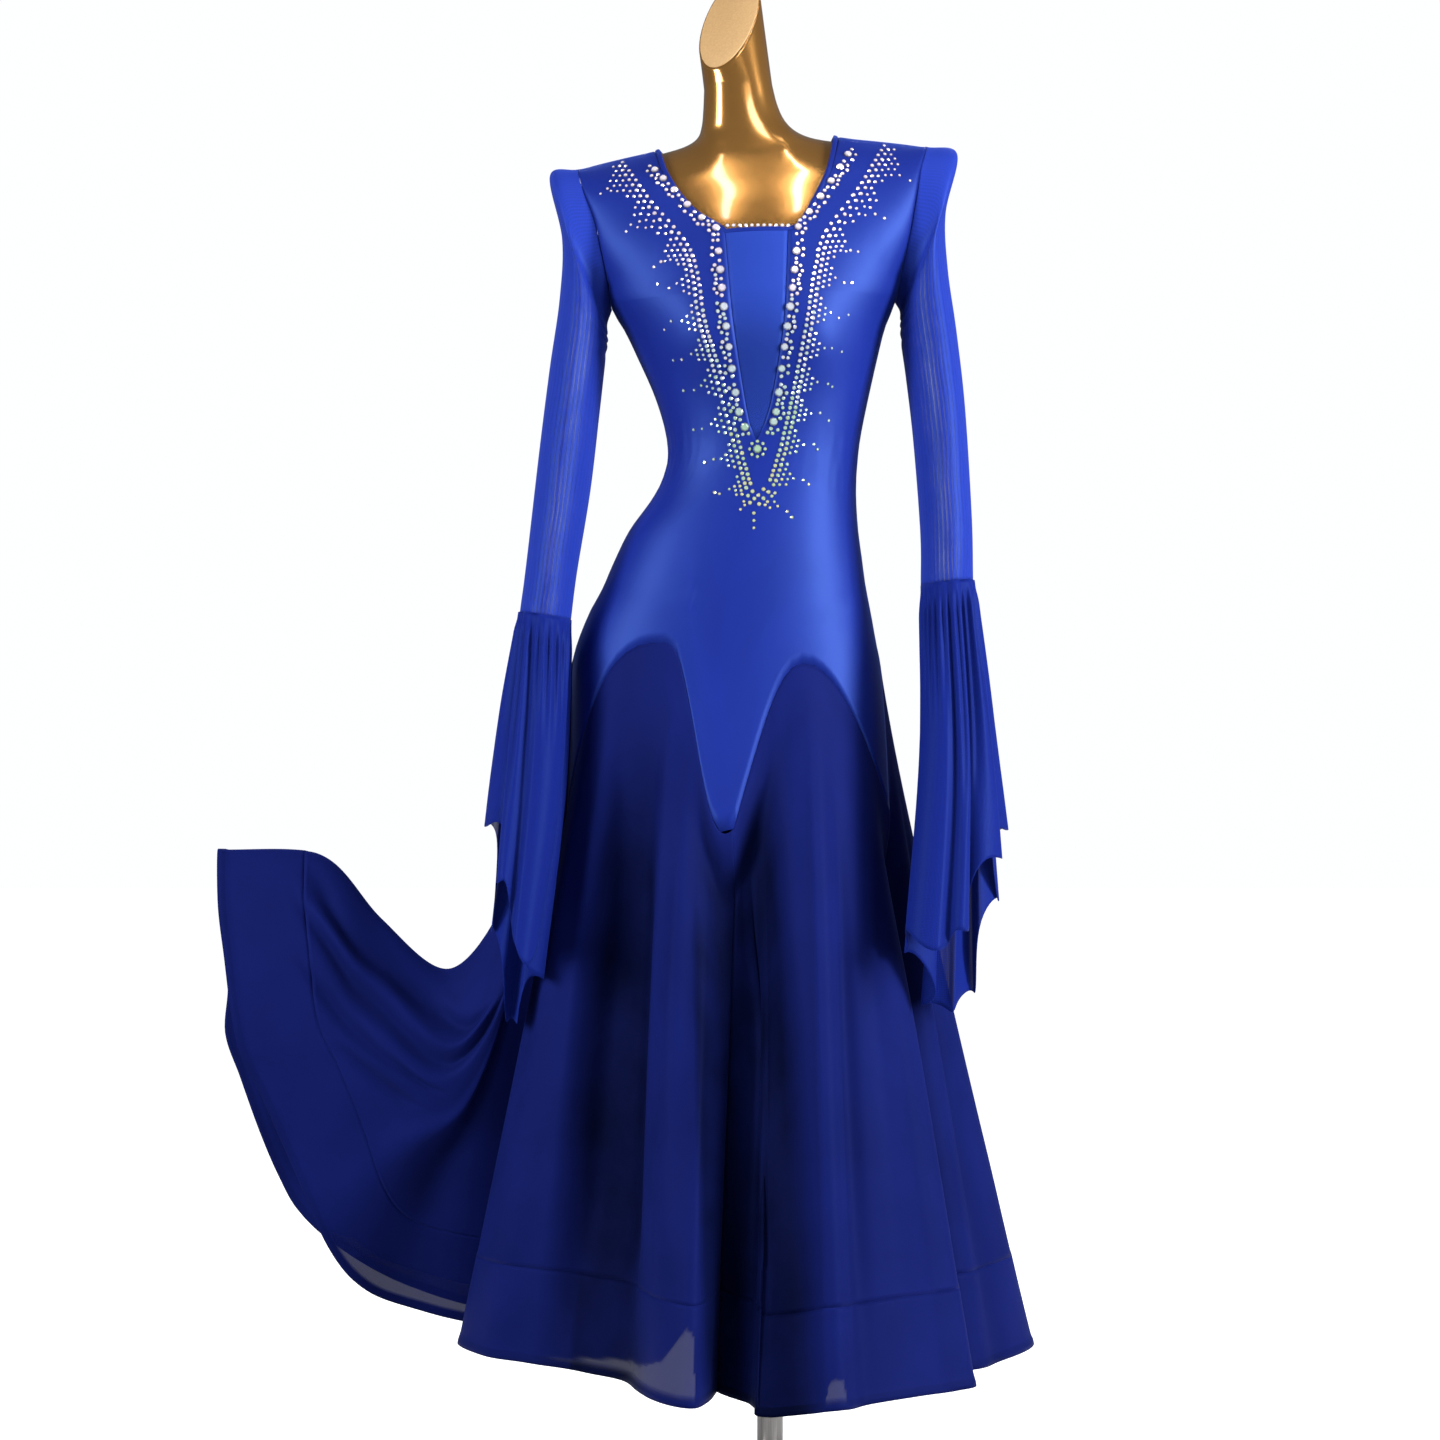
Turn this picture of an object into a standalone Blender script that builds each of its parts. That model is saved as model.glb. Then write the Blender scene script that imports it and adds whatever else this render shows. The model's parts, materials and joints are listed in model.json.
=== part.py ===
"""Ballroom dance dress with its side skirt lifted, on a limbless dress form with a pole stand.

Metres, +Z up, the front of the dress faces -Y. The pole stands on X = 0, Y = 0 and the floor is Z = 0.
"Left" and "right" in the names are the left and right of someone looking at the front of the dress.
"""
import math

import bpy
from mathutils import Vector

# Cloth walls and the clearances between sewn pieces
WALL = 0.0015
BAND_WALL = 0.0018
SEAM = 0.00025
BINDING_WIDTH = 0.0050
BINDING_RAISE = 0.0004

# Rows and columns of the panels
ARCH_STEPS = 5
LOWER_ROWS = (0.0, 0.10, 0.20, 0.31, 0.42, 0.52, 0.62, 0.725, 0.82, 0.91, 1.0)
TIP_ROW = 7
UPPER_STEPS = 7
SHOULDER_COLUMNS = 7
INSERT_COLUMNS = 4
GORE_ROWS = 8
BAND_ROWS = 2
SWEPT_ROWS = 12
SPLITS = (2, 2, 1, 1, 1, 2)
FLOUNCE_ROWS = 5
FLOUNCE_WAVES = 10
WAVE_POINTS = 4
FORM_COLUMNS = 28

# Body of the dress: height, left edge x, right edge x, front depth, back depth
BODY = (
    (0.740, -0.2290, 0.1500, 0.142, 0.150),
    (0.800, -0.2245, 0.1400, 0.130, 0.143),
    (0.860, -0.2205, 0.1320, 0.118, 0.138),
    (0.905, -0.2185, 0.1260, 0.110, 0.135),
    (0.945, -0.2165, 0.1208, 0.106, 0.132),
    (0.965, -0.2118, 0.1166, 0.105, 0.129),
    (1.000, -0.1975, 0.1105, 0.103, 0.122),
    (1.023, -0.1848, 0.1056, 0.101, 0.116),
    (1.056, -0.1705, 0.1012, 0.098, 0.106),
    (1.089, -0.1540, 0.0968, 0.094, 0.096),
    (1.1275, -0.1265, 0.0946, 0.089, 0.085),
    (1.1605, -0.1133, 0.0957, 0.087, 0.080),
    (1.188, -0.1133, 0.0990, 0.088, 0.080),
    (1.232, -0.1254, 0.1078, 0.095, 0.085),
    (1.280, -0.1463, 0.1188, 0.105, 0.092),
    (1.309, -0.1595, 0.1265, 0.108, 0.095),
    (1.335, -0.1735, 0.1375, 0.108, 0.099),
    (1.360, -0.1765, 0.1420, 0.104, 0.101),
    (1.397, -0.1835, 0.1503, 0.095, 0.100),
    (1.435, -0.1915, 0.1575, 0.080, 0.094),
    (1.470, -0.2045, 0.1635, 0.062, 0.080),
    (1.4975, -0.2112, 0.1716, 0.050, 0.062),
    (1.520, -0.2112, 0.1716, 0.046, 0.050),
    (1.545, -0.2112, 0.1716, 0.043, 0.046),
    (1.573, -0.2112, 0.1716, 0.0405, 0.043),
    (1.617, -0.2112, 0.1716, 0.0375, 0.040),
)
SQUARENESS = 0.04
BUST_RISE = 0.012
BUST_HEIGHT = 1.292
BUST_SPREAD = 0.066

# The right shoulder stands higher than the left: slope and the heights over which it comes in
SHOULDER_SLOPE = 0.065
SLOPE_FROM = 1.25
SLOPE_TO = 1.45

# Shoulder and neck line, seen from the front: distance from the middle, height
RIDGE = (
    (0.000, 1.720),
    (0.030, 1.640),
    (0.039, 1.573),
    (0.0446, 1.545),
    (0.0534, 1.530),
    (0.0715, 1.520),
    (0.1067, 1.5118),
    (0.140, 1.5065),
    (0.170, 1.5015),
    (0.1914, 1.4975),
    (0.250, 1.490),
)
RIDGE_ROUND = 0.050
NECK_ROUND = 0.012

# Armholes
ARM_TOP = 1.4975
ARM_FOOT = 1.335
ARM_REACH = 0.050
ARM_SPREAD = 1.35

# Neckline from the left neck point to the right one: x, height
NECK_LEFT = ((-0.1265, 1.5118), (-0.1149, 1.4746), (-0.0874, 1.4323), (-0.0571, 1.4086), (-0.0497, 1.4023))
NECK_RIGHT = ((0.0748, 1.5118), (0.0649, 1.4684), (0.0475, 1.4315), (0.0309, 1.4055), (0.0180, 1.4011))
NECK_BACK_LEFT = ((-0.1265, 1.5118), (-0.1080, 1.5030), (-0.0750, 1.4900), (-0.0230, 1.4850))
NECK_BACK_RIGHT = ((0.0748, 1.5118), (0.0600, 1.5030), (0.0280, 1.4900), (-0.0230, 1.4850))

# V insert: height, left edge x, right edge x
INSERT = (
    (1.1743, -0.0158, -0.0158),
    (1.190, -0.0215, -0.0098),
    (1.2214, -0.0284, 0.0000),
    (1.305, -0.0412, 0.0135),
    (1.350, -0.0455, 0.0160),
    (1.4023, -0.0497, 0.0180),
)

# Points of the body between the gores: bearing from the front, height
POINTS = ((-76.0, 0.775), (0.0, 0.7654), (64.0, 0.783), (122.0, 0.775), (180.0, 0.768), (236.0, 0.772))
# Gores: name, arch bearing, arch height, lean of the near side, straightness of the ribs
GORES = (
    ("front_left", -28.3, 0.9622, 0.20, 1.00),
    ("front_right", 27.9, 0.9408, 0.0, 1.00),
    ("side_right", 90.0, 0.9420, 0.0, 1.10),
    ("back_right", 151.0, 0.9500, 0.0, 1.06),
    ("back_left", 208.0, 0.9560, 0.0, 1.06),
    ("side_left", 270.0, 0.9560, 0.0, 1.00),
)
HEM_HEIGHT = 0.198
BAND_DEPTH = 0.100
HEM_MIDDLE = (-0.030, 0.0)
HEM_REACH = (0.300, 0.310)
FOLD_GROWTH = 1.30

# Folds of the hem of each gore: place along the gore, x, y
HEM = (
    (
        (0.00, -0.300, 0.060),
        (0.12, -0.341, -0.010),
        (0.25, -0.305, -0.078),
        (0.38, -0.258, -0.115),
        (0.52, -0.205, -0.165),
        (0.64, -0.160, -0.205),
        (0.78, -0.115, -0.285),
        (0.88, -0.085, -0.321),
        (0.95, -0.068, -0.292),
        (1.00, -0.062, -0.262),
    ),
    (
        (0.00, -0.062, -0.262),
        (0.05, -0.056, -0.292),
        (0.12, -0.045, -0.326),
        (0.25, -0.010, -0.341),
        (0.38, 0.030, -0.336),
        (0.50, 0.066, -0.328),
        (0.62, 0.100, -0.298),
        (0.75, 0.145, -0.268),
        (0.88, 0.190, -0.240),
        (0.95, 0.2065, -0.215),
        (1.00, 0.185, -0.150),
    ),
    (
        (0.00, 0.185, -0.150),
        (0.15, 0.212, -0.150),
        (0.35, 0.252, -0.095),
        (0.55, 0.287, -0.020),
        (0.70, 0.272, 0.060),
        (0.85, 0.262, 0.120),
        (1.00, 0.205, 0.150),
    ),
    (
        (0.00, 0.205, 0.150),
        (0.15, 0.218, 0.215),
        (0.30, 0.175, 0.262),
        (0.50, 0.115, 0.285),
        (0.65, 0.080, 0.330),
        (0.80, 0.035, 0.350),
        (0.92, 0.000, 0.325),
        (1.00, -0.025, 0.250),
    ),
    (
        (0.00, -0.025, 0.250),
        (0.08, -0.050, 0.325),
        (0.20, -0.085, 0.350),
        (0.35, -0.130, 0.330),
        (0.50, -0.165, 0.285),
        (0.70, -0.215, 0.262),
        (0.85, -0.262, 0.215),
        (1.00, -0.240, 0.150),
    ),
)
# Hem of the lifted gore, from the back to the front: place along the gore, x, y, z
SWEPT_HEM = (
    (0.000, -0.240, 0.150, 0.198),
    (0.045, -0.330, 0.150, 0.203),
    (0.090, -0.420, 0.140, 0.235),
    (0.140, -0.500, 0.130, 0.285),
    (0.180, -0.540, 0.130, 0.320),
    (0.215, -0.5606, 0.130, 0.355),
    (0.260, -0.581, 0.130, 0.405),
    (0.310, -0.604, 0.125, 0.4726),
    (0.350, -0.620, 0.120, 0.523),
    (0.385, -0.616, 0.115, 0.575),
    (0.440, -0.614, 0.090, 0.660),
    (0.500, -0.6176, 0.060, 0.7343),
    (0.544, -0.6132, 0.035, 0.6743),
    (0.587, -0.6040, 0.022, 0.6166),
    (0.635, -0.5945, 0.016, 0.5512),
    (0.667, -0.5841, 0.014, 0.5093),
    (0.703, -0.5621, 0.014, 0.4653),
    (0.782, -0.5181, 0.018, 0.3652),
    (0.856, -0.4752, 0.026, 0.2739),
    (0.892, -0.440, 0.030, 0.2387),
    (0.935, -0.384, 0.040, 0.2200),
    (1.000, -0.300, 0.060, 0.1980),
)
# Sag of the lifted ridge below the straight line from hip to hem: place down the rib, x, z
SAG = (
    (0.000, 0.0000, 0.0000),
    (0.224, 0.0503, -0.1017),
    (0.432, 0.0878, -0.1938),
    (0.553, 0.0797, -0.2298),
    (0.685, 0.0597, -0.1462),
    (0.798, 0.0547, -0.0622),
    (0.850, 0.0437, -0.0344),
    (1.000, 0.0000, 0.0000),
)
SAG_WIDTH = 1.3
SWEPT_BELLY = 0.022

# Sleeves from the sleeve head to the elbow seam: outer x, outer z, inner x, inner z, middle y, half depth
SLEEVES = {
    "left": (
        (-0.2420, 1.4780, -0.1790, 1.3150, 0.000, 0.056),
        (-0.2285, 1.4080, -0.1775, 1.2980, -0.004, 0.060),
        (-0.2310, 1.3420, -0.1805, 1.2760, -0.008, 0.061),
        (-0.2415, 1.2650, -0.1870, 1.2150, -0.016, 0.060),
        (-0.2520, 1.1770, -0.1965, 1.1300, -0.026, 0.058),
        (-0.2650, 1.0560, -0.2105, 1.0400, -0.040, 0.055),
        (-0.2715, 0.9970, -0.2165, 0.9885, -0.050, 0.050),
    ),
    "right": (
        (0.2057, 1.5015, 0.1430, 1.3290, 0.000, 0.056),
        (0.1925, 1.4355, 0.1425, 1.3140, -0.004, 0.060),
        (0.1945, 1.3740, 0.1440, 1.2925, -0.008, 0.061),
        (0.2035, 1.3040, 0.1485, 1.2560, -0.016, 0.060),
        (0.2120, 1.2200, 0.1560, 1.1850, -0.026, 0.058),
        (0.2180, 1.1000, 0.1625, 1.0850, -0.042, 0.055),
        (0.2188, 1.0315, 0.1625, 1.0260, -0.050, 0.050),
    ),
}
# Flounces: outer, front, inner and back points, at the seam, half way down and at the hem
FLOUNCES = {
    "left": (
        (
            (-0.2715, -0.050, 0.9970),
            (-0.2440, -0.100, 0.9930),
            (-0.2165, -0.050, 0.9885),
            (-0.2440, 0.000, 0.9930),
        ),
        (
            (-0.2870, -0.065, 0.8850),
            (-0.2500, -0.135, 0.8200),
            (-0.2245, -0.085, 0.8050),
            (-0.2630, -0.030, 0.7750),
        ),
        (
            (-0.2990, -0.085, 0.7655),
            (-0.2660, -0.176, 0.6400),
            (-0.2490, -0.120, 0.6320),
            (-0.2860, -0.056, 0.5660),
        ),
    ),
    "right": (
        (
            (0.2188, -0.050, 1.0315),
            (0.1900, -0.100, 1.0290),
            (0.1625, -0.050, 1.0260),
            (0.1900, 0.000, 1.0290),
        ),
        (
            (0.2330, -0.065, 0.9000),
            (0.1950, -0.150, 0.8350),
            (0.1560, -0.115, 0.8400),
            (0.2070, -0.045, 0.8000),
        ),
        (
            (0.2450, -0.090, 0.7620),
            (0.1850, -0.200, 0.6520),
            (0.1380, -0.170, 0.6570),
            (0.2000, -0.112, 0.5780),
        ),
    ),
}
GATHER_HEIGHT = 0.0015
FLUTE_HEIGHT = 0.009

# Dress form: clearance under the dress, its foot, and the neck above the shoulders
FORM_EASE = 0.0043
FORM_FOOT = 0.800
FORM_ROWS = (
    0.800, 0.830, 0.870, 0.915, 0.950, 0.990, 1.030, 1.075, 1.120, 1.160, 1.200, 1.245, 1.285, 1.320,
    1.355, 1.390, 1.425, 1.455, 1.478, 1.490, 1.4975, 1.503, 1.508, 1.514, 1.522, 1.534, 1.552, 1.575,
)
# Half width of the form above the shoulder tips: height, middle x, half width
FORM_NECK = (
    (1.4700, -0.0198, 0.1845),
    (1.4900, -0.0198, 0.1815),
    (1.4975, -0.0198, 0.1670),
    (1.5030, -0.0205, 0.1340),
    (1.5080, -0.0215, 0.1030),
    (1.5140, -0.0228, 0.0735),
    (1.5220, -0.0250, 0.0560),
    (1.5340, -0.0290, 0.0465),
    (1.5520, -0.0325, 0.0410),
    (1.5750, -0.0350, 0.0375),
)
CUT_MIDDLE = (-0.0445, 0.0, 1.648)
CUT_REACH = (0.0335, 0.0365)
CUT_SLOPE = (0.85, 1.44)
THIGH_EASE = 0.020

# Stand
POLE_RADIUS = 0.0143
FLANGE_RADIUS = 0.045
FLANGE_HEIGHT = 0.030
BASE_RADIUS = 0.150
BASE_THICKNESS = 0.012
HUB_RADIUS = 0.026
HUB_HEIGHT = 0.040
STAND_GAP = 0.0003
TURN_STEPS = 24

COLOURS = {
    "body": (0.018, 0.062, 0.58, 1.0),
    "skirt": (0.010, 0.030, 0.36, 1.0),
    "mesh": (0.020, 0.060, 0.50, 1.0),
    "insert": (0.012, 0.040, 0.22, 1.0),
    "form": (0.58, 0.32, 0.09, 1.0),
    "steel": (0.55, 0.56, 0.58, 1.0),
}


def mix(a, b, t):
    return a + (b - a) * t


def ease(t):
    t = min(1.0, max(0.0, t))
    return t * t * (3.0 - 2.0 * t)


def curve(rows, x):
    """Smooth curve through the rows of a table; returns the columns after the first."""
    if x <= rows[0][0]:
        return rows[0][1:]
    if x >= rows[-1][0]:
        return rows[-1][1:]
    i = 0
    while rows[i + 1][0] < x:
        i += 1
    a, b = rows[i], rows[i + 1]
    before = rows[i - 1] if i else a
    after = rows[i + 2] if i + 2 < len(rows) else b
    width = b[0] - a[0]
    t = (x - a[0]) / width
    values = []
    for k in range(1, len(a)):
        rise_a = (b[k] - before[k]) / (b[0] - before[0]) * width
        rise_b = (after[k] - a[k]) / (after[0] - a[0]) * width
        values.append(
            (2 * t**3 - 3 * t**2 + 1) * a[k]
            + (t**3 - 2 * t**2 + t) * rise_a
            + (-2 * t**3 + 3 * t**2) * b[k]
            + (t**3 - t**2) * rise_b
        )
    return tuple(values)


def unit(v):
    return v.normalized() if v.length > 1e-12 else Vector((0.0, 0.0, 1.0))


def shoulder_lean(x, middle, height):
    return SHOULDER_SLOPE * (x - middle) * ease((height - SLOPE_FROM) / (SLOPE_TO - SLOPE_FROM))


def armhole_reach(height):
    middle = (ARM_TOP + ARM_FOOT) / 2
    half = (ARM_TOP - ARM_FOOT) / 2
    off = (height - middle) / half
    return ARM_REACH * math.sqrt(max(0.0, 1.0 - off * off))


def ridge_factor(distance, height, inset=0.0):
    """How far the section has opened below the shoulder line: 0 on the line, 1 well below it."""
    size = mix(RIDGE_ROUND, NECK_ROUND, ease((height - 1.500) / 0.030))
    drop = curve(RIDGE, distance)[0] - inset - height
    t = min(1.0, max(0.0, drop / size))
    return math.sqrt(1.0 - (1.0 - t) ** 2)


def body_point(theta, height, face):
    """Outside of the body at a bearing in degrees from the front; face is -1 for front and 1 for back."""
    left, right, front, back = curve(BODY, height)
    angle = math.radians(theta)
    fat = 1.0 + SQUARENESS * math.sin(2 * angle) ** 2
    middle = (left + right) / 2
    x = middle + (right - left) / 2 * math.sin(angle) * fat
    depth = front if face < 0 else back
    reach = armhole_reach(height)
    turn = -face * math.cos(angle) * fat
    y = ridge_factor(abs(x - middle), height) * depth * turn + reach * (1.0 - turn) ** ARM_SPREAD
    if face < 0:
        for side in (-1, 1):
            off = ((x - middle - side * BUST_SPREAD) / 0.040) ** 2 + ((height - BUST_HEIGHT) / 0.045) ** 2
            y += BUST_RISE * math.exp(-off) * turn
    return Vector((x, face * y, height + shoulder_lean(x, middle, height)))


def body_normal(theta, height, face):
    step = 0.3
    rise = 0.0008
    across = body_point(theta + step, height, face) - body_point(theta - step, height, face)
    up = body_point(theta, height + rise, face) - body_point(theta, height - rise, face)
    return unit(across.cross(up))


def bearing_at(x, height):
    """Bearing, from -90 to 90 degrees, at which the body section at a height passes x."""
    left, right = curve(BODY, height)[:2]
    wanted = (x - (left + right) / 2) / ((right - left) / 2)
    low, high = -90.0, 90.0
    for _ in range(40):
        middle = (low + high) / 2
        angle = math.radians(middle)
        if math.sin(angle) * (1.0 + SQUARENESS * math.sin(2 * angle) ** 2) < wanted:
            low = middle
        else:
            high = middle
    return (low + high) / 2


def point_of(index):
    turns, row = divmod(index, len(POINTS))
    return POINTS[row][0] + 360.0 * turns, POINTS[row][1]


def seam_height(gore, theta):
    """Height of the seam at a bearing inside a gore's arch."""
    _, top_at, top, lean, _ = GORES[gore]
    near_at, near = point_of(gore)
    far_at, far = point_of(gore + 1)
    if theta >= top_at:
        far_side = (far_at - theta) / (far_at - top_at)
        if gore != 0:
            return far + (top - far) * math.sin(math.pi / 2 * far_side)
        leant = far_side - lean * math.sin(2 * math.pi * far_side)
        return far + (top - far) * math.sin(math.pi / 2 * leant)
    near_side = (theta - near_at) / (top_at - near_at)
    return near + (top - near) * math.sin(math.pi / 2 * near_side)


def face_of(theta):
    return -1 if math.cos(math.radians(theta)) > 1e-9 else 1


def seam_stations(gore):
    """Evenly spaced bearings and heights along a gore's arch, with its top as a station."""
    top_at = GORES[gore][1]
    stations = []
    for start, end in ((point_of(gore)[0], top_at), (top_at, point_of(gore + 1)[0])):
        fine = [mix(start, end, k / 60) for k in range(61)]
        places = [body_point(t, seam_height(gore, t), face_of((start + end) / 2)) for t in fine]
        lengths = [0.0]
        for a, b in zip(places, places[1:]):
            lengths.append(lengths[-1] + (b - a).length)
        for k in range(ARCH_STEPS if start == point_of(gore)[0] else ARCH_STEPS + 1):
            wanted = lengths[-1] * k / ARCH_STEPS
            i = 0
            while i < 59 and lengths[i + 1] < wanted:
                i += 1
            part = (wanted - lengths[i]) / max(1e-9, lengths[i + 1] - lengths[i])
            theta = mix(fine[i], fine[i + 1], min(1.0, part))
            stations.append((theta, seam_height(gore, theta)))
    return stations


STATIONS = [seam_stations(g) for g in range(len(GORES))]


def seam_place(gore, along):
    """Point of the seam at 0 to 1 along a gore, on the straight lines between its stations."""
    stations = STATIONS[gore]
    scaled = min(max(along, 0.0), 1.0) * (len(stations) - 1)
    i = min(int(scaled), len(stations) - 2)
    top_at = GORES[gore][1]
    ends = []
    for theta, height in stations[i:i + 2]:
        middle = (stations[i][0] + stations[i + 1][0]) / 2
        ends.append(body_point(theta, height, face_of(middle if gore in (2, 5) else top_at)))
    return ends[0].lerp(ends[1], scaled - i)


def material(name, colour, roughness, metallic=0.0):
    made = bpy.data.materials.new(name)
    made.use_nodes = True
    shader = made.node_tree.nodes["Principled BSDF"]
    shader.inputs["Base Color"].default_value = colour
    shader.inputs["Roughness"].default_value = roughness
    shader.inputs["Metallic"].default_value = metallic
    return made


def add_solid(name, points, faces, kind, roughness=0.6, metallic=0.0):
    mesh = bpy.data.meshes.new(name)
    mesh.from_pydata([tuple(p) for p in points], [], faces)
    mesh.validate()
    thing = bpy.data.objects.new(name, mesh)
    thing.data.materials.append(material(name + "_finish", COLOURS[kind], roughness, metallic))
    DRESS.objects.link(thing)
    return thing


def add_wall(name, outside, inside, cells, kind):
    """Closed wall from matching outside and inside points, keyed alike, and its cells."""
    order = {key: i for i, key in enumerate(outside)}
    count = len(order)
    points = [outside[key] for key in order] + [inside[key] for key in order]
    faces = []
    open_edges = {}
    for cell in cells:
        ring = [order[key] for key in cell]
        first = (points[ring[0]] - points[ring[2]]).length
        if (points[ring[1]] - points[ring[3]]).length < first:
            ring = ring[1:] + ring[:1]
        for half in ((ring[0], ring[1], ring[2]), (ring[0], ring[2], ring[3])):
            faces.append(half)
            faces.append([i + count for i in reversed(half)])
        for a, b in zip(ring, ring[1:] + ring[:1]):
            if (b, a) in open_edges:
                del open_edges[(b, a)]
            else:
                open_edges[(a, b)] = True
    for a, b in open_edges:
        faces.append([b, a, a + count, b + count])
    return add_solid(name, points, faces, kind)


def add_sheet(name, place, columns, rows, thickness, kind, closed=False, normals=None):
    """Wall over a grid: place(i, j) gives the outside point, whose normal comes from its neighbours."""
    grid = {(i, j): place(i, j) for i in range(columns + 1 - closed) for j in range(rows + 1)}
    outside = {}
    inside = {}
    for (i, j), point in grid.items():
        if normals:
            normal = normals(i, j)
        else:
            ahead = (i + 1) % columns if closed else min(i + 1, columns)
            behind = (i - 1) % columns if closed else max(i - 1, 0)
            across = grid[ahead, j] - grid[behind, j]
            down = grid[i, min(j + 1, rows)] - grid[i, max(j - 1, 0)]
            normal = unit(down.cross(across))
        outside[i, j] = point
        inside[i, j] = point - normal * thickness
    cells = []
    for i in range(columns):
        other = (i + 1) % columns if closed else i + 1
        for j in range(rows):
            cells.append(((i, j), (i, j + 1), (other, j + 1), (other, j)))
    return add_wall(name, outside, inside, cells, kind)


def along_line(line, fraction):
    """Place at a fraction of the length of a line of (x, height) points."""
    lengths = [0.0]
    for a, b in zip(line, line[1:]):
        lengths.append(lengths[-1] + math.hypot(b[0] - a[0], b[1] - a[1]))
    wanted = lengths[-1] * fraction
    rows = [(length, x, z) for length, (x, z) in zip(lengths, line)]
    return curve(rows, wanted)


def half_bearings(face, side):
    """Bearings and heights of one half of the front or back panel, edge column first, centre last."""
    front = face < 0
    if front and side < 0:
        bottom = STATIONS[5][ARCH_STEPS:] + STATIONS[0][1:]
        bottom = [(t - 360.0 if t > 180.0 else t, z) for t, z in bottom]
        neck = NECK_LEFT
    elif front:
        bottom = STATIONS[1] + STATIONS[2][1:ARCH_STEPS + 1]
        bottom = [(-t, z) for t, z in reversed(bottom)]
        neck = NECK_RIGHT
    elif side > 0:
        bottom = STATIONS[2][ARCH_STEPS:] + STATIONS[3][1:]
        bottom = [(t - 180.0, z) for t, z in bottom]
        neck = NECK_BACK_RIGHT
    else:
        bottom = STATIONS[4] + STATIONS[5][1:ARCH_STEPS + 1]
        bottom = [(180.0 - t, z) for t, z in reversed(bottom)]
        neck = NECK_BACK_LEFT
    # every half is worked out with its edge at -90 degrees and its centre near 0
    mirror = 1.0 if (front and side < 0) or (not front and side < 0) else -1.0
    count = len(bottom) - 1
    tops = []
    for i in range(count + 1):
        if i <= SHOULDER_COLUMNS:
            edge = curve(BODY, ARM_TOP)[0 if side < 0 else 1]
            x = mix(edge, neck[0][0], i / SHOULDER_COLUMNS)
            left, right = curve(BODY, ARM_TOP)[:2]
            height = curve(RIDGE, abs(x - (left + right) / 2))[0]
        else:
            x, height = along_line(neck, (i - SHOULDER_COLUMNS) / (count - SHOULDER_COLUMNS))
        tops.append((bearing_at(x, height) * mirror, height))
    rows = []
    total = len(LOWER_ROWS) + UPPER_STEPS
    for j in range(total):
        row = []
        for i in range(count + 1):
            low = bottom[i][1]
            if j < len(LOWER_ROWS):
                height = mix(low, ARM_FOOT, LOWER_ROWS[j])
            else:
                k = j - len(LOWER_ROWS) + 1
                height = mix(ARM_FOOT, tops[i][1], (1 - math.cos(math.pi * k / UPPER_STEPS)) / 2)
            row.append(height)
        rows.append(row)
    grid = {}
    for j in range(total):
        centre_height = rows[j][count]
        if not front:
            centre = mix(0.0, tops[count][0], ease(j / (total - 1)))
        elif j <= TIP_ROW:
            tip = bearing_at(INSERT[0][1], INSERT[0][0]) * mirror
            centre = mix(0.0, tip, j / TIP_ROW)
        else:
            edges = curve(INSERT, centre_height)
            centre = bearing_at(edges[0 if side < 0 else 1], centre_height) * mirror
        for i in range(count + 1):
            even = i / count
            if j <= TIP_ROW:
                first = (bottom[i][0] + 90.0) / (bottom[count][0] + 90.0)
                part = mix(first, even, ease(j / TIP_ROW))
            else:
                last = (tops[i][0] + 90.0) / (tops[count][0] + 90.0)
                part = mix(even, last, (j - TIP_ROW) / (total - 1 - TIP_ROW))
            theta = (-90.0 + (centre + 90.0) * part) * mirror
            grid[i, j] = (theta, rows[j][i])
    return grid, count, total - 1


def ridge_distance(theta, height):
    left, right = curve(BODY, height)[:2]
    angle = math.radians(theta)
    fat = 1.0 + SQUARENESS * math.sin(2 * angle) ** 2
    return abs((right - left) / 2 * math.sin(angle) * fat)


def panel_place(theta, height, face):
    """Outside point and outward normal of a bodice panel; back bearings are mirrored about x."""
    shown = theta if face < 0 else 180.0 - theta
    point = body_point(shown, height, face)
    normal = body_normal(shown, height, face)
    if normal.dot(Vector((point.x + 0.03, point.y, 0.0))) < 0 and abs(normal.z) < 0.9:
        normal = -normal
    if abs(normal.z) >= 0.9 and normal.z < 0 and height > 1.4:
        normal = -normal
    if curve(RIDGE, ridge_distance(shown, height))[0] - height < 0.002:
        normal = unit(Vector((normal.x, 0.0, normal.z)))
    elif abs(theta) > 89.0 and height > ARM_FOOT + 0.002:
        within = shown + (6.0 if math.sin(math.radians(theta)) * face > 0 else -6.0)
        beside = body_normal(within, height, face)
        if beside.dot(Vector((point.x + 0.02, point.y, 0.2 * ease((height - 1.45) / 0.04)))) < 0:
            beside = -beside
        normal = unit(beside + Vector((math.copysign(0.5, point.x + 0.02), 0.0, 0.0)))
    elif abs(theta) > 89.0:
        normal = unit(Vector((normal.x, 0.0, normal.z)))
    point.y += face * SEAM
    return point, normal


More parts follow.
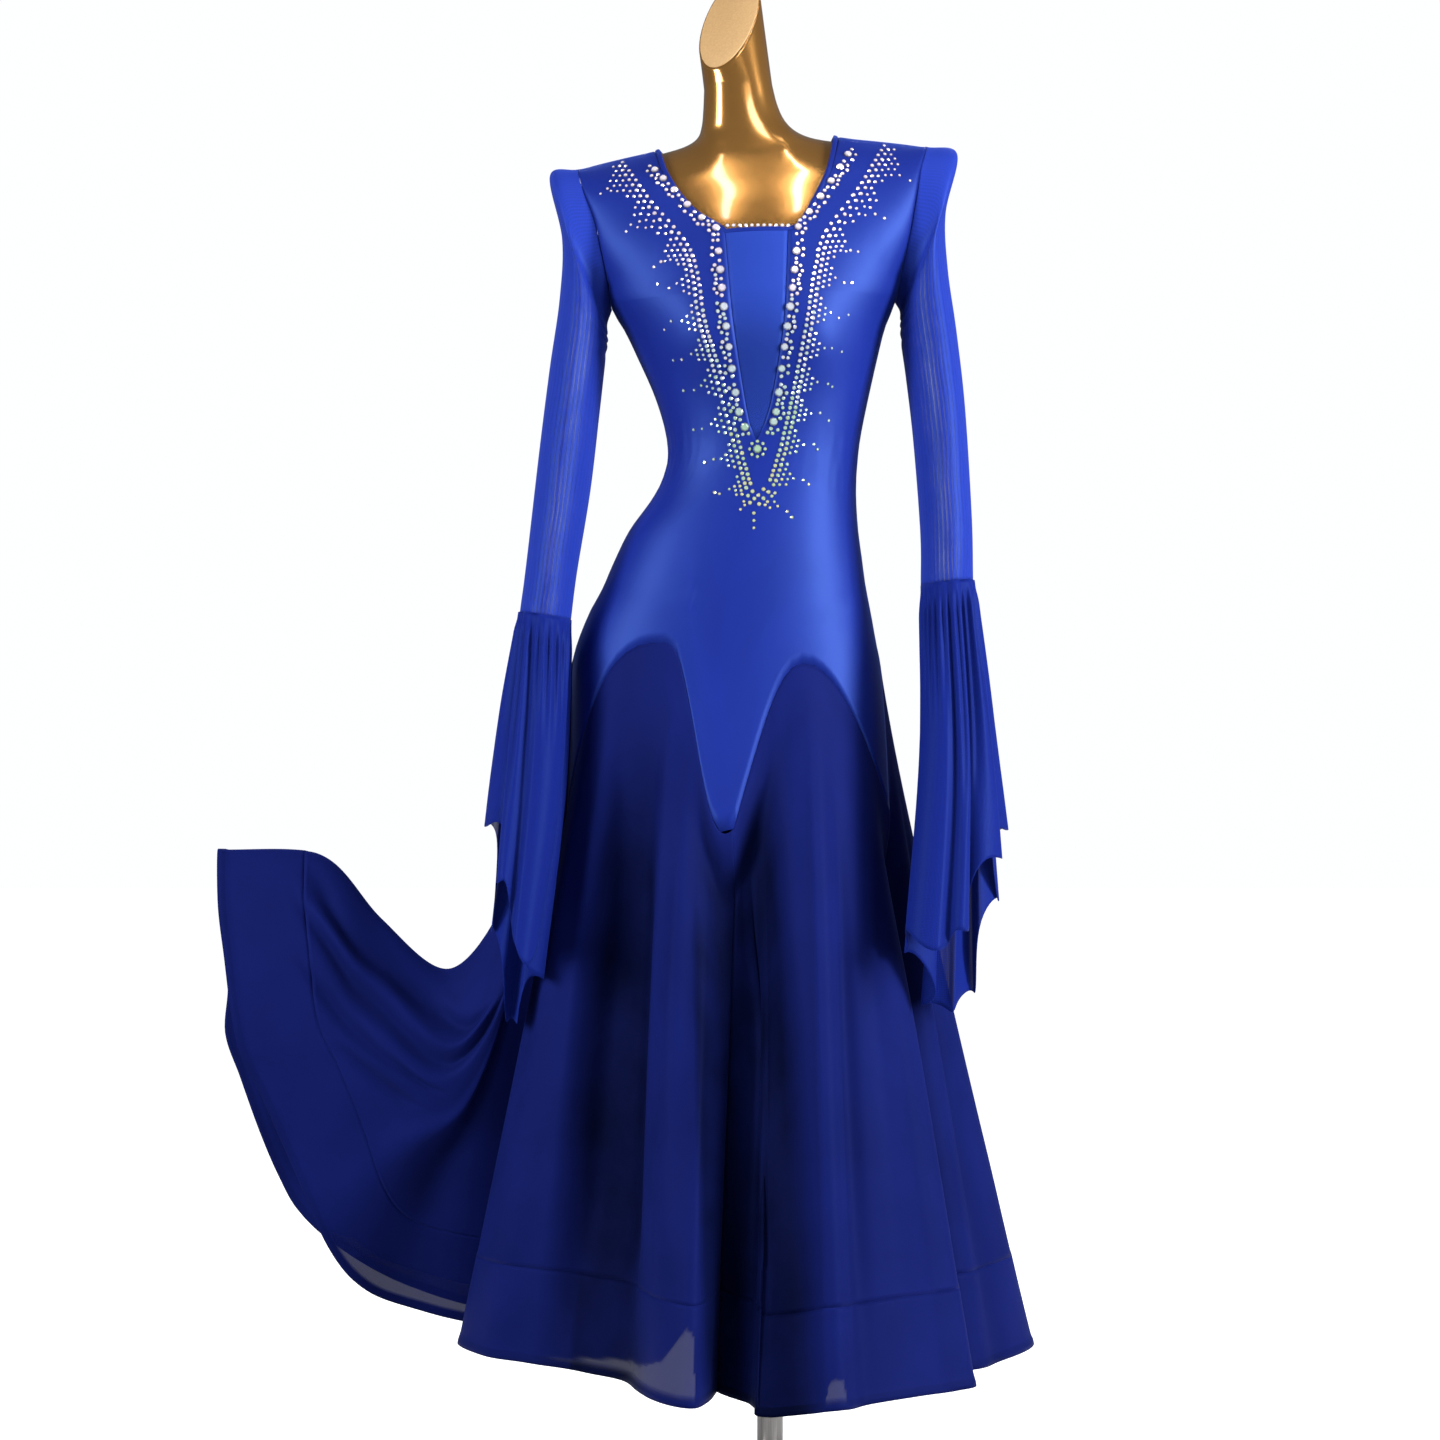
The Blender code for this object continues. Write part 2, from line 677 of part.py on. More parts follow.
def build_body(face):
    """Front or back panel of the body; the front is slit from the neckline to the foot of the insert."""
    front = face < 0
    outside = {}
    inside = {}
    cells = []
    for side in (-1, 1):
        grid, count, rows = half_bearings(face, side)
        spots = {}
        for (i, j), (theta, height) in grid.items():
            spots[i, j] = panel_place(theta, height, face)
        for i in range(count + 1):
            # the scalloped edge stands a seam's width above the gores
            point, normal = spots[i, 0]
            along = spots[min(i + 1, count), 0][0] - spots[max(i - 1, 0), 0][0]
            away = unit(normal.cross(along))
            if away.dot(spots[i, 1][0] - point) < 0:
                away = -away
            if i == count:
                away = Vector((0.0, 0.0, 1.0))
            spots[i, 0] = (point + away * SEAM, normal)
        corner, level = spots[0, rows]
        spots[0, rows] = (corner, unit(level + Vector((0.0, 0.0, 1.0))))

        def key(i, j):
            if i == count and (not front or j <= TIP_ROW):
                return ("centre", j)
            return (side, i, j)

        for (i, j), (point, normal) in spots.items():
            if i == count and front and j > TIP_ROW:
                point = point + Vector((side * SEAM, 0.0, 0.0))
            outside[key(i, j)] = point
            inside[key(i, j)] = point - normal * WALL
        for i in range(count):
            for j in range(rows):
                cell = (key(i, j), key(i + 1, j), key(i + 1, j + 1), key(i, j + 1))
                turned = (side < 0) == front
                cells.append(cell if turned else tuple(reversed(cell)))
        EDGES[face, side] = spots
    return add_wall("front_body" if front else "back_body", outside, inside, cells, "body")


def build_insert():
    """Sheer V set in below the neckline."""
    left = EDGES[-1, -1]
    right = EDGES[-1, 1]
    count = max(i for i, _ in left)
    rows = max(j for _, j in left)
    places = []
    for j, part in [(TIP_ROW, 0.30)] + [(j, 0.0) for j in range(TIP_ROW + 1, rows + 1)]:
        nxt = min(j + 1, rows)
        a = left[count, j][0].lerp(left[count, nxt][0], part)
        b = right[count, j][0].lerp(right[count, nxt][0], part)
        n = unit(left[count, j][1] + right[count, j][1])
        places.append((a, b, n))

    def spot(i, j):
        a, b, normal = places[len(places) - 1 - j]
        gap = 2.5 * SEAM / max(0.0015, (b - a).length)
        part = mix(gap, 1.0 - gap, i / INSERT_COLUMNS)
        bow = 4 * part * (1 - part) * (b - a).length ** 2 / 0.9
        return a.lerp(b, part) + normal * bow

    def facing(i, j):
        return places[len(places) - 1 - j][2]

    return add_sheet("neck_insert", spot, INSERT_COLUMNS, len(places) - 1, WALL, "insert", normals=facing)


def build_binding():
    """Narrow binding round the whole neckline."""
    loop = []
    count = max(i for i, _ in EDGES[-1, -1])
    rows = max(j for _, j in EDGES[-1, -1])
    for face, side in ((-1, -1), (-1, 1), (1, 1), (1, -1)):
        top = [EDGES[face, side][i, rows] for i in range(SHOULDER_COLUMNS, count + 1)]
        if (face, side) in ((-1, 1), (1, -1)):
            top = top[::-1]
        if (face, side) == (-1, 1):
            a, b = loop[-1], top[0]
            for k in range(1, INSERT_COLUMNS):
                part = k / INSERT_COLUMNS
                bow = 4 * part * (1 - part) * (b[0] - a[0]).length ** 2 / 0.9
                normal = unit(a[1] + b[1])
                loop.append((a[0].lerp(b[0], part) + normal * bow, normal))
            loop.extend(top)
        elif face == 1:
            loop.extend(top[1:])
        else:
            loop.extend(top)
    if (loop[0][0] - loop[-1][0]).length < 0.003:
        loop.pop()
    axis = Vector((-0.025, 0.0, 1.56))
    points = []
    total = len(loop)
    for k, (point, normal) in enumerate(loop):
        along = loop[(k + 1) % total][0] - loop[k - 1][0]
        inward = unit(normal.cross(along))
        if inward.dot(axis - point) < 0:
            inward = -inward
        for shift, lift in (
            (2 * SEAM, BINDING_RAISE),
            (2 * SEAM + BINDING_WIDTH, BINDING_RAISE),
            (2 * SEAM + BINDING_WIDTH, -WALL),
            (2 * SEAM, -WALL),
        ):
            points.append(point + inward * shift + normal * lift)
    faces = []
    for k in range(total):
        other = (k + 1) % total
        for c in range(4):
            d = (c + 1) % 4
            faces.append([4 * k + c, 4 * other + c, 4 * other + d, 4 * k + d])
    return add_solid("neck_binding", points, faces, "body")


def straightness(gore, along):
    """How straight a rib falls, shared with the neighbouring gore on their common rib."""
    own = GORES[gore][4]
    other = GORES[(gore + (1 if along > 0.5 else -1)) % len(GORES)][4]
    return mix(own, (own + other) / 2, abs(2 * along - 1))


def gore_point(gore, along, down):
    """Outside of a gore: along runs from one point of the body to the next, down from seam to hem."""
    start = seam_place(gore, along)
    if gore == 5:
        return swept_point(start, along, down)
    x, y = curve(HEM[gore], along)
    bearing = math.atan2((y - HEM_MIDDLE[1]) / HEM_REACH[1], (x - HEM_MIDDLE[0]) / HEM_REACH[0])
    plain_x = HEM_MIDDLE[0] + HEM_REACH[0] * math.cos(bearing)
    plain_y = HEM_MIDDLE[1] + HEM_REACH[1] * math.sin(bearing)
    out = down ** straightness(gore, along)
    fold = down ** FOLD_GROWTH
    return Vector((
        mix(start.x, plain_x, out) + (x - plain_x) * fold,
        mix(start.y, plain_y, out) + (y - plain_y) * fold,
        mix(start.z, HEM_HEIGHT, down),
    ))


def swept_point(start, along, down):
    end = Vector(curve(SWEPT_HEM, along))
    sag_x, sag_z = curve(SAG, down)
    weight = math.sin(math.pi * along) ** SAG_WIDTH
    belly = SWEPT_BELLY * math.sin(math.pi * down) * math.sin(2 * math.pi * along) * weight
    point = start.lerp(end, down) + Vector((sag_x * weight, belly, sag_z * weight))
    # the edges follow the ribs shared with the front and back gores
    near, near_along = (0, 0.0) if along > 0.5 else (4, 1.0)
    rib = gore_point(near, near_along, down)
    line = seam_place(5, round(along)).lerp(Vector(curve(SWEPT_HEM, round(along))), down)
    return point + (rib - line) * (2 * along - 1) ** 2


def rib_length(gore, along):
    places = [gore_point(gore, along, k / 16) for k in range(17)]
    return sum((b - a).length for a, b in zip(places, places[1:]))


def gore_normal(gore, along, down):
    step = 0.012
    low, high = max(0.0, along - step), min(1.0, along + step)
    across = gore_point(gore, high, down) - gore_point(gore, low, down)
    fall = gore_point(gore, along, min(1.0, down + step)) - gore_point(gore, along, max(0.0, down - step))
    return unit(fall.cross(across))


def build_gore(gore):
    """A gore from its arched seam to the hem band, and the band below it."""
    name = GORES[gore][0]
    columns = 2 * ARCH_STEPS * SPLITS[gore]
    rows = SWEPT_ROWS if gore == 5 else GORE_ROWS
    starts = [1.0 - BAND_DEPTH / rib_length(gore, i / columns) for i in range(columns + 1)]

    def build(title, count, first, last, thickness):
        def downs(i, j):
            return mix(first(i), last(i), j / count)

        def spot(i, j):
            along = i / columns
            down = downs(i, j)
            point = gore_point(gore, along, down)
            inward = 1 if i < columns / 2 else -1
            if i in (0, columns):
                beside = gore_point(gore, along + inward * 0.5 / columns, down)
                rib = unit(gore_point(gore, along, min(1.0, down + 0.02)) - point)
                away = beside - point
                away -= rib * away.dot(rib)
                point = point + unit(away) * SEAM
            if down == 0.0:
                before = gore_point(gore, max(0.0, along - 0.02), 0.0)
                after = gore_point(gore, min(1.0, along + 0.02), 0.0)
                away = gore_point(gore, along, 0.03) - gore_point(gore, along, 0.0)
                if i not in (0, columns):
                    side = unit(after - before)
                    away -= side * away.dot(side)
                point = point + unit(away) * SEAM
            return point

        def facing(i, j):
            return gore_normal(gore, i / columns, downs(i, j))

        return add_sheet(title, spot, columns, count, thickness, "skirt", normals=facing)

    gap = 0.00045
    build(
        name + "_gore", rows,
        lambda i: 0.0,
        lambda i: starts[i] - gap,
        WALL,
    )
    build(
        name + "_hem_band", BAND_ROWS,
        lambda i: starts[i],
        lambda i: 1.0,
        BAND_WALL,
    )


def ring_point(outer, front, inner, back, phi):
    """Closed ring through four points; phi is 0 at the outer point and 90 degrees at the front one."""
    reach = (outer - inner) / 2
    depth = (front - back) / 2
    middle = (outer + front + inner + back) / 4
    skew = (outer + inner - front - back) / 4
    return middle + reach * math.cos(phi) + depth * math.sin(phi) + skew * math.cos(2 * phi)


def armhole_point(side, phi):
    middle = (ARM_TOP + ARM_FOOT) / 2
    height = middle + (ARM_TOP - ARM_FOOT) / 2 * math.cos(phi)
    face = -1 if math.sin(phi) >= 0 else 1
    point = body_point(side * 90.0, height, face)
    return point + Vector((side * 2 * SEAM, face * SEAM, 0.0))


def sleeve_ring(side, ring, phi):
    if ring == 0:
        return armhole_point(-1 if side == "left" else 1, phi)
    outer_x, outer_z, inner_x, inner_z, y, depth = SLEEVES[side][ring - 1]
    outer = Vector((outer_x, y, outer_z))
    inner = Vector((inner_x, y, inner_z))
    middle = (outer + inner) / 2
    front = middle + Vector((0.0, -depth, 0.0))
    back = middle + Vector((0.0, depth, 0.0))
    return ring_point(outer, front, inner, back, phi)


def build_sleeve(side):
    columns = 2 * UPPER_STEPS
    rings = len(SLEEVES[side])
    turn = -1 if side == "left" else 1

    def spot(i, j):
        return sleeve_ring(side, j, turn * -2 * math.pi * i / columns)

    return add_sheet(side + "_sleeve", spot, columns, rings, WALL, "mesh", closed=True)


def flounce_point(side, phi, down):
    """Outside of a flounce: gathers at its seam open into deep flutes at its uneven hem."""
    rings = FLOUNCES[side]
    cardinal = []
    for k in range(4):
        rows = [(0.0, *rings[0][k]), (0.5, *rings[1][k]), (1.0, *rings[2][k])]
        cardinal.append(Vector(curve(rows, down)))
    point = ring_point(*cardinal, phi)
    middle = sum(cardinal, Vector((0.0, 0.0, 0.0))) / 4
    outward = unit(Vector((point.x - middle.x, point.y - middle.y, 0.0)))
    height = mix(GATHER_HEIGHT, FLUTE_HEIGHT, down)
    wave = math.sin(FLOUNCE_WAVES * phi + 0.7 * math.sin(2 * phi))
    return point + outward * height * wave


def build_flounce(side):
    columns = FLOUNCE_WAVES * WAVE_POINTS
    turn = -1 if side == "left" else 1
    start = 0.003

    def spot(i, j):
        return flounce_point(side, turn * -2 * math.pi * i / columns, mix(start, 1.0, j / FLOUNCE_ROWS))

    return add_sheet(side + "_flounce", spot, columns, FLOUNCE_ROWS, WALL, "mesh", closed=True)


def form_point(theta, height):
    left, right, front, back = curve(BODY, height)
    middle = (left + right) / 2
    half = (right - left) / 2 - FORM_EASE
    if height > 1.47:
        middle, half = curve(FORM_NECK, height)
    thigh = ease((0.95 - height) / 0.15)
    half -= THIGH_EASE * thigh
    angle = math.radians(theta)
    fat = 1.0 + SQUARENESS * math.sin(2 * angle) ** 2
    x = middle + half * math.sin(angle) * fat
    cosine = math.cos(angle)
    depth = (front if cosine > 0 else back) - FORM_EASE - THIGH_EASE * thigh
    factor = ridge_factor(abs(x - middle), height, FORM_EASE)
    y = factor * depth * abs(cosine) * fat
    if cosine > 0:
        for side in (-1, 1):
            off = ((x - middle - side * BUST_SPREAD) / 0.040) ** 2 + ((height - BUST_HEIGHT) / 0.045) ** 2
            y += BUST_RISE * math.exp(-off) * cosine * fat
    return Vector((x, -y if cosine > 0 else y, height + shoulder_lean(x, middle, height)))


def build_form():
    points = []
    for height in FORM_ROWS:
        for i in range(FORM_COLUMNS):
            points.append(form_point(360.0 * i / FORM_COLUMNS, height))
    last = points[-FORM_COLUMNS:]
    for part in (0.4, 1.0):
        for i in range(FORM_COLUMNS):
            angle = 2 * math.pi * i / FORM_COLUMNS
            x = CUT_MIDDLE[0] + CUT_REACH[0] * math.sin(angle)
            y = CUT_MIDDLE[1] - CUT_REACH[1] * math.cos(angle)
            z = CUT_MIDDLE[2] + CUT_SLOPE[0] * (x - CUT_MIDDLE[0]) + CUT_SLOPE[1] * y
            points.append(last[i].lerp(Vector((x, y, z)), part))
    rings = len(FORM_ROWS) + 2
    faces = []
    for r in range(rings - 1):
        for i in range(FORM_COLUMNS):
            other = (i + 1) % FORM_COLUMNS
            a, b = r * FORM_COLUMNS, (r + 1) * FORM_COLUMNS
            faces.append([a + i, a + other, b + other, b + i])
    faces.append(list(reversed(range(FORM_COLUMNS))))
    top = (rings - 1) * FORM_COLUMNS
    faces.append(list(range(top, top + FORM_COLUMNS)))
    return add_solid("dress_form", points, faces, "form", 0.2, 0.6)


def build_turned(name, profile, kind, flip=False):
    """Turned part from (radius, height) points that start and end on the pole line."""
    mesh = bpy.data.meshes.new(name)
    mesh.from_pydata([(r, 0.0, z) for r, z in profile], [(k, k + 1) for k in range(len(profile) - 1)], [])
    thing = bpy.data.objects.new(name, mesh)
    thing.data.materials.append(material(name + "_finish", COLOURS[kind], 0.2, 1.0))
    DRESS.objects.link(thing)
    turn = thing.modifiers.new("turn", "SCREW")
    turn.axis = "Z"
    turn.steps = TURN_STEPS
    turn.render_steps = TURN_STEPS
    turn.use_merge_vertices = True
    turn.merge_threshold = 0.0001
    turn.use_normal_calculate = True
    turn.use_normal_flip = flip
    return thing


def build_stand():
    flange_foot = FORM_FOOT - STAND_GAP - FLANGE_HEIGHT
    hub_top = BASE_THICKNESS + HUB_HEIGHT
    build_turned("form_flange", (
        (0.0, flange_foot),
        (HUB_RADIUS, flange_foot),
        (HUB_RADIUS, flange_foot + 0.022),
        (FLANGE_RADIUS, flange_foot + 0.024),
        (FLANGE_RADIUS, FORM_FOOT - STAND_GAP),
        (0.0, FORM_FOOT - STAND_GAP),
    ), "steel", True)
    build_turned("pole", (
        (0.0, hub_top + STAND_GAP),
        (POLE_RADIUS, hub_top + STAND_GAP),
        (POLE_RADIUS, flange_foot - STAND_GAP),
        (0.0, flange_foot - STAND_GAP),
    ), "steel", True)
    build_turned("base_hub", (
        (0.0, BASE_THICKNESS + STAND_GAP),
        (HUB_RADIUS + 0.006, BASE_THICKNESS + STAND_GAP),
        (HUB_RADIUS + 0.006, BASE_THICKNESS + 0.005),
        (HUB_RADIUS, BASE_THICKNESS + 0.009),
        (HUB_RADIUS, hub_top - 0.002),
        (HUB_RADIUS - 0.002, hub_top),
        (0.0, hub_top),
    ), "steel")
    build_turned("stand_base", (
        (0.0, 0.0),
        (BASE_RADIUS - 0.002, 0.0),
        (BASE_RADIUS, 0.002),
        (BASE_RADIUS, BASE_THICKNESS - 0.004),
        (BASE_RADIUS - 0.004, BASE_THICKNESS),
        (0.0, BASE_THICKNESS),
    ), "steel")


for old in list(bpy.data.objects):
    bpy.data.objects.remove(old)
DRESS = bpy.data.collections.new("BallroomDanceDress")
bpy.context.scene.collection.children.link(DRESS)
EDGES = {}

build_body(-1)
build_body(1)
build_insert()
build_binding()
for number in range(len(GORES)):
    build_gore(number)
for hand in ("left", "right"):
    build_sleeve(hand)
    build_flounce(hand)
build_form()
build_stand()
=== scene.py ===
import json
import math
import random

import bmesh
import bpy
import numpy as np
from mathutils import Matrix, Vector

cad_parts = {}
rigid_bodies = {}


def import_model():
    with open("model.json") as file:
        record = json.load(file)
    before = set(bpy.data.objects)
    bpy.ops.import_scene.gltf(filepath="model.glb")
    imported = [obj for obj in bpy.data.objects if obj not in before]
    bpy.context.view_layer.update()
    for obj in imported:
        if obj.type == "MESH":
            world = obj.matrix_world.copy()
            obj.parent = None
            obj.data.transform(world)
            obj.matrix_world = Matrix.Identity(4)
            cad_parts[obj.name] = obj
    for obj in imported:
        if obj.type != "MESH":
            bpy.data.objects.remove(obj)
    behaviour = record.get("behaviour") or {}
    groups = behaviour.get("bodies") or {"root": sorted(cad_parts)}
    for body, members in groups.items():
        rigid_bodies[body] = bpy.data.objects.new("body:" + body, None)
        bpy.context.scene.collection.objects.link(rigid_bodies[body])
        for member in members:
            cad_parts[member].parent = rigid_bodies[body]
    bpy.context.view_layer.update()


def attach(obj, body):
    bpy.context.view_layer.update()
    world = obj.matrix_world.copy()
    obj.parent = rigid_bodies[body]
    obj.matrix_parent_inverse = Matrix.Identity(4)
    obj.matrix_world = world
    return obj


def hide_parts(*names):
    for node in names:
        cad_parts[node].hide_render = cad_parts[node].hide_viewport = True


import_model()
random.seed(7)

for thing in bpy.data.objects:
    thing.select_set(False)


# ways of bending a flat grid into cloth

def mix(a, b, t):
    return a + (b - a) * t


def ease(t):
    t = np.clip(t, 0.0, 1.0)
    return t * t * (3.0 - 2.0 * t)


def cubic(a, b, riseA, riseB, t):
    # from a to b, with the rise given at each end
    return (
        (2 * t**3 - 3 * t**2 + 1) * a + (t**3 - 2 * t**2 + t) * riseA
        + (-2 * t**3 + 3 * t**2) * b + (t**3 - t**2) * riseB
    )


def curve(rows, x):
    # smooth curve through the rows of a table, the first column is the place along it
    table = np.array(rows, float)
    places = table[:, 0]
    x = np.clip(np.asarray(x, float), places[0], places[-1])
    i = np.clip(np.searchsorted(places, x, side="left") - 1, 0, len(places) - 2)
    before = np.clip(i - 1, 0, None)
    after = np.clip(i + 2, None, len(places) - 1)
    width = places[i + 1] - places[i]
    t = ((x - places[i]) / width)[..., None]
    a, b = table[i, 1:], table[i + 1, 1:]
    riseA = (b - table[before, 1:]) / (places[i + 1] - places[before])[..., None] * width[..., None]
    riseB = (table[after, 1:] - a) / (places[after] - places[i])[..., None] * width[..., None]
    return cubic(a, b, riseA, riseB, t)


def stack(x, y, z):
    x, y, z = np.broadcast_arrays(x, y, z)
    return np.stack([x, y, z], axis=-1).astype(float)


def unit(v):
    return v / np.maximum(1e-12, np.linalg.norm(v, axis=-1, keepdims=True))


def gridNormals(points):
    # outward normals of a grid of points whose first index runs round and second runs down
    return unit(np.cross(np.gradient(points, axis=1), np.gradient(points, axis=0)))


def bump(x, middle, width):
    # one smooth hump of height 1
    return np.exp(-(((x - middle) / width) ** 2))


def evenPlaces(points, axis):
    # share of the way along each row or column of a grid, by its mean length
    steps = np.linalg.norm(np.diff(points, axis=axis), axis=-1).mean(axis=1 - axis)
    places = np.concatenate([[0.0], np.cumsum(steps)])
    return places / max(places[-1], 1e-9)


def runningLength(points):
    # length along a row of points, from its first one
    steps = np.linalg.norm(np.diff(points, axis=0), axis=-1)
    return np.concatenate([[0.0], np.cumsum(steps)])


def called(thing, name):
    thing.name = name
    thing.data.name = name
    return thing


def gridPiece(name, points, size, masks=None):
    # a plane cut into a grid, its points moved to their places; the flat pattern is laid out in metres
    columns, rows = points.shape[0] - 1, points.shape[1] - 1
    bpy.ops.mesh.primitive_grid_add(x_subdivisions=columns, y_subdivisions=rows, size=1.0)
    cloth = called(bpy.context.active_object, name)
    mesh = cloth.data
    flatPlace = np.zeros(len(mesh.vertices) * 3, np.float32)
    mesh.vertices.foreach_get("co", flatPlace)
    flatPlace = flatPlace.reshape(-1, 3)
    i = np.rint((flatPlace[:, 0] + 0.5) * columns).astype(int)
    j = np.rint((0.5 - flatPlace[:, 1]) * rows).astype(int)
    mesh.vertices.foreach_set("co", points[i, j].astype(np.float32).ravel())
    layer = mesh.uv_layers.active.data
    flatUv = np.zeros(len(layer) * 2, np.float32)
    layer.foreach_get("uv", flatUv)
    flatUv = flatUv.reshape(-1, 2)
    across = evenPlaces(points, 0) * size[0]
    down = evenPlaces(points, 1) * size[1]
    u = np.interp(flatUv[:, 0] * columns, np.arange(columns + 1), across)
    v = -np.interp((1.0 - flatUv[:, 1]) * rows, np.arange(rows + 1), down)
    layer.foreach_set("uv", np.stack([u, v], axis=1).astype(np.float32).ravel())
    for label, values in (masks or {}).items():
        mask = mesh.attributes.new(label, "FLOAT", "POINT")
        spread = np.broadcast_to(values, points.shape[:2])
        mask.data.foreach_set("value", spread[i, j].astype(np.float32))
    mesh.update()
    cloth.select_set(False)
    return cloth


def sewn(name, parts, thickness, reach=1e-5):
    # grid pieces joined, their touching edges merged, and the cloth given its thickness inwards
    for part in parts:
        part.select_set(True)
    bpy.context.view_layer.objects.active = parts[0]
    if len(parts) > 1:
        bpy.ops.object.join()
    cloth = called(bpy.context.active_object, name)
    shape = bmesh.new()
    shape.from_mesh(cloth.data)
    bmesh.ops.remove_doubles(shape, verts=shape.verts, dist=reach)
    shape.to_mesh(cloth.data)
    shape.free()
    cloth.data.shade_smooth()
    if thickness:
        wall = cloth.modifiers.new("clothWall", "SOLIDIFY")
        wall.thickness = thickness
        wall.offset = -1.0
        bpy.ops.object.modifier_apply(modifier=wall.name)
    bpy.ops.object.transform_apply(location=True, rotation=True, scale=True)
    cloth.select_set(False)
    return cloth


def dress(piece, material, slot, *replaced):
    piece.data.materials.clear()
    piece.data.materials.append(material)
    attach(piece, "root")
    if replaced:
        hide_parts(*replaced)
    return piece


# the body of the dress: height, left edge x, right edge x, front depth, back depth
bodyShape = {
    "sections": (
        (0.740, -0.2290, 0.1500, 0.142, 0.150),
        (0.800, -0.2245, 0.1400, 0.130, 0.143),
        (0.860, -0.2205, 0.1320, 0.118, 0.138),
        (0.905, -0.2185, 0.1260, 0.110, 0.135),
        (0.945, -0.2165, 0.1208, 0.106, 0.132),
        (0.965, -0.2118, 0.1166, 0.105, 0.129),
        (1.000, -0.1975, 0.1105, 0.103, 0.122),
        (1.023, -0.1848, 0.1056, 0.101, 0.116),
        (1.056, -0.1705, 0.1012, 0.098, 0.106),
        (1.089, -0.1540, 0.0968, 0.094, 0.096),
        (1.1275, -0.1265, 0.0946, 0.089, 0.085),
        (1.1605, -0.1133, 0.0957, 0.087, 0.080),
        (1.188, -0.1133, 0.0990, 0.088, 0.080),
        (1.232, -0.1254, 0.1078, 0.095, 0.085),
        (1.280, -0.1463, 0.1188, 0.105, 0.092),
        (1.309, -0.1595, 0.1265, 0.108, 0.095),
        (1.335, -0.1735, 0.1375, 0.108, 0.099),
        (1.360, -0.1765, 0.1420, 0.104, 0.101),
        (1.397, -0.1835, 0.1503, 0.095, 0.100),
        (1.435, -0.1915, 0.1575, 0.080, 0.094),
        (1.470, -0.2045, 0.1635, 0.062, 0.080),
        (1.4975, -0.2112, 0.1716, 0.050, 0.062),
        (1.520, -0.2112, 0.1716, 0.046, 0.050),
        (1.545, -0.2112, 0.1716, 0.043, 0.046),
        (1.573, -0.2112, 0.1716, 0.0405, 0.043),
        (1.617, -0.2112, 0.1716, 0.0375, 0.040),
    ),
    "shoulderLine": (
        (0.000, 1.720), (0.030, 1.640), (0.039, 1.573), (0.0446, 1.545), (0.0534, 1.530), (0.0715, 1.520),
        (0.1067, 1.5118), (0.140, 1.5065), (0.170, 1.5015), (0.1914, 1.4975), (0.250, 1.490),
    ),
    "squareness": 0.04,
    "bustRise": 0.012,
    "bustHeight": 1.292,
    "bustSpread": 0.066,
    "bustHalf": (0.040, 0.045),
    "shoulderSlope": 0.065,
    "slopeFrom": (1.25, 0.20),
    # size of the shoulder's rounding, and where it turns into that of the neck
    "ridge": (0.050, 0.012),
    "ridgeFrom": (1.500, 0.030),
    "armTop": 1.4975,
    "armFoot": 1.335,
    "armReach": 0.050,
    "armSpread": 1.35,
    "armFade": 1.5,
    "lowerRows": (0.0, 0.10, 0.20, 0.31, 0.42, 0.52, 0.62, 0.725, 0.82, 0.91, 1.0),
    "tipRow": 7,
    "upperSteps": 7,
    "shoulderColumns": 7,
    "halfArch": 5,
    "fineness": 3,
    "wall": 0.0011,
    "out": 0.0002,
    "flat": (0.24, 0.72),
    "neck": {
        (-1, -1): (
            (-0.1265, 1.5118), (-0.1149, 1.4746), (-0.0874, 1.4323), (-0.0571, 1.4086), (-0.0497, 1.4023),
        ),
        (-1, 1): (
            (0.0748, 1.5118), (0.0649, 1.4684), (0.0475, 1.4315), (0.0309, 1.4055), (0.0180, 1.4011),
        ),
        (1, -1): ((-0.1265, 1.5118), (-0.1080, 1.5030), (-0.0750, 1.4900), (-0.0230, 1.4850)),
        (1, 1): ((0.0748, 1.5118), (0.0600, 1.5030), (0.0280, 1.4900), (-0.0230, 1.4850)),
    },
    "insert": (
        (1.1743, -0.0158, -0.0158), (1.190, -0.0215, -0.0098), (1.2214, -0.0284, 0.0000),
        (1.305, -0.0412, 0.0135), (1.350, -0.0455, 0.0160), (1.4023, -0.0497, 0.0180),
    ),
}


def grown(at, start):
    # 0 up to the first number of start, 1 from there on plus the second
    return ease((at - start[0]) / start[1])


def shoulderLean(x, middle, height):
    return bodyShape["shoulderSlope"] * (x - middle) * grown(height, bodyShape["slopeFrom"])


def armholeReach(height, turn):
    # an oval at the side edge, that fades out softly under the arm towards the middle
    middle = (bodyShape["armTop"] + bodyShape["armFoot"]) / 2
    half = (bodyShape["armTop"] - bodyShape["armFoot"]) / 2
    level = (height - middle) / half
    oval = np.sqrt(np.maximum(0.0, 1.0 - level**2))
    soft = np.where(level < 0, 1.0 - ease(-level / bodyShape["armFade"]), oval)
    return bodyShape["armReach"] * mix(soft, oval, np.clip(1.0 - turn, 0.0, 1.0) ** 4)


def ridgeFactor(distance, height, inset=0.0):
    size = mix(*bodyShape["ridge"], grown(height, bodyShape["ridgeFrom"]))
    drop = curve(bodyShape["shoulderLine"], distance)[..., 0] - inset - height
    t = np.clip(drop / size, 0.0, 1.0)
    return np.sqrt(1.0 - (1.0 - t) ** 2)


def fatness(angle):
    return 1.0 + bodyShape["squareness"] * np.sin(2 * angle) ** 2


def bustSwell(distance, height):
    swell = 0.0
    wide, tall = bodyShape["bustHalf"]
    for side in (-1, 1):
        off = ((distance - side * bodyShape["bustSpread"]) / wide) ** 2
        off = off + ((height - bodyShape["bustHeight"]) / tall) ** 2
        swell = swell + bodyShape["bustRise"] * np.exp(-off)
    return swell


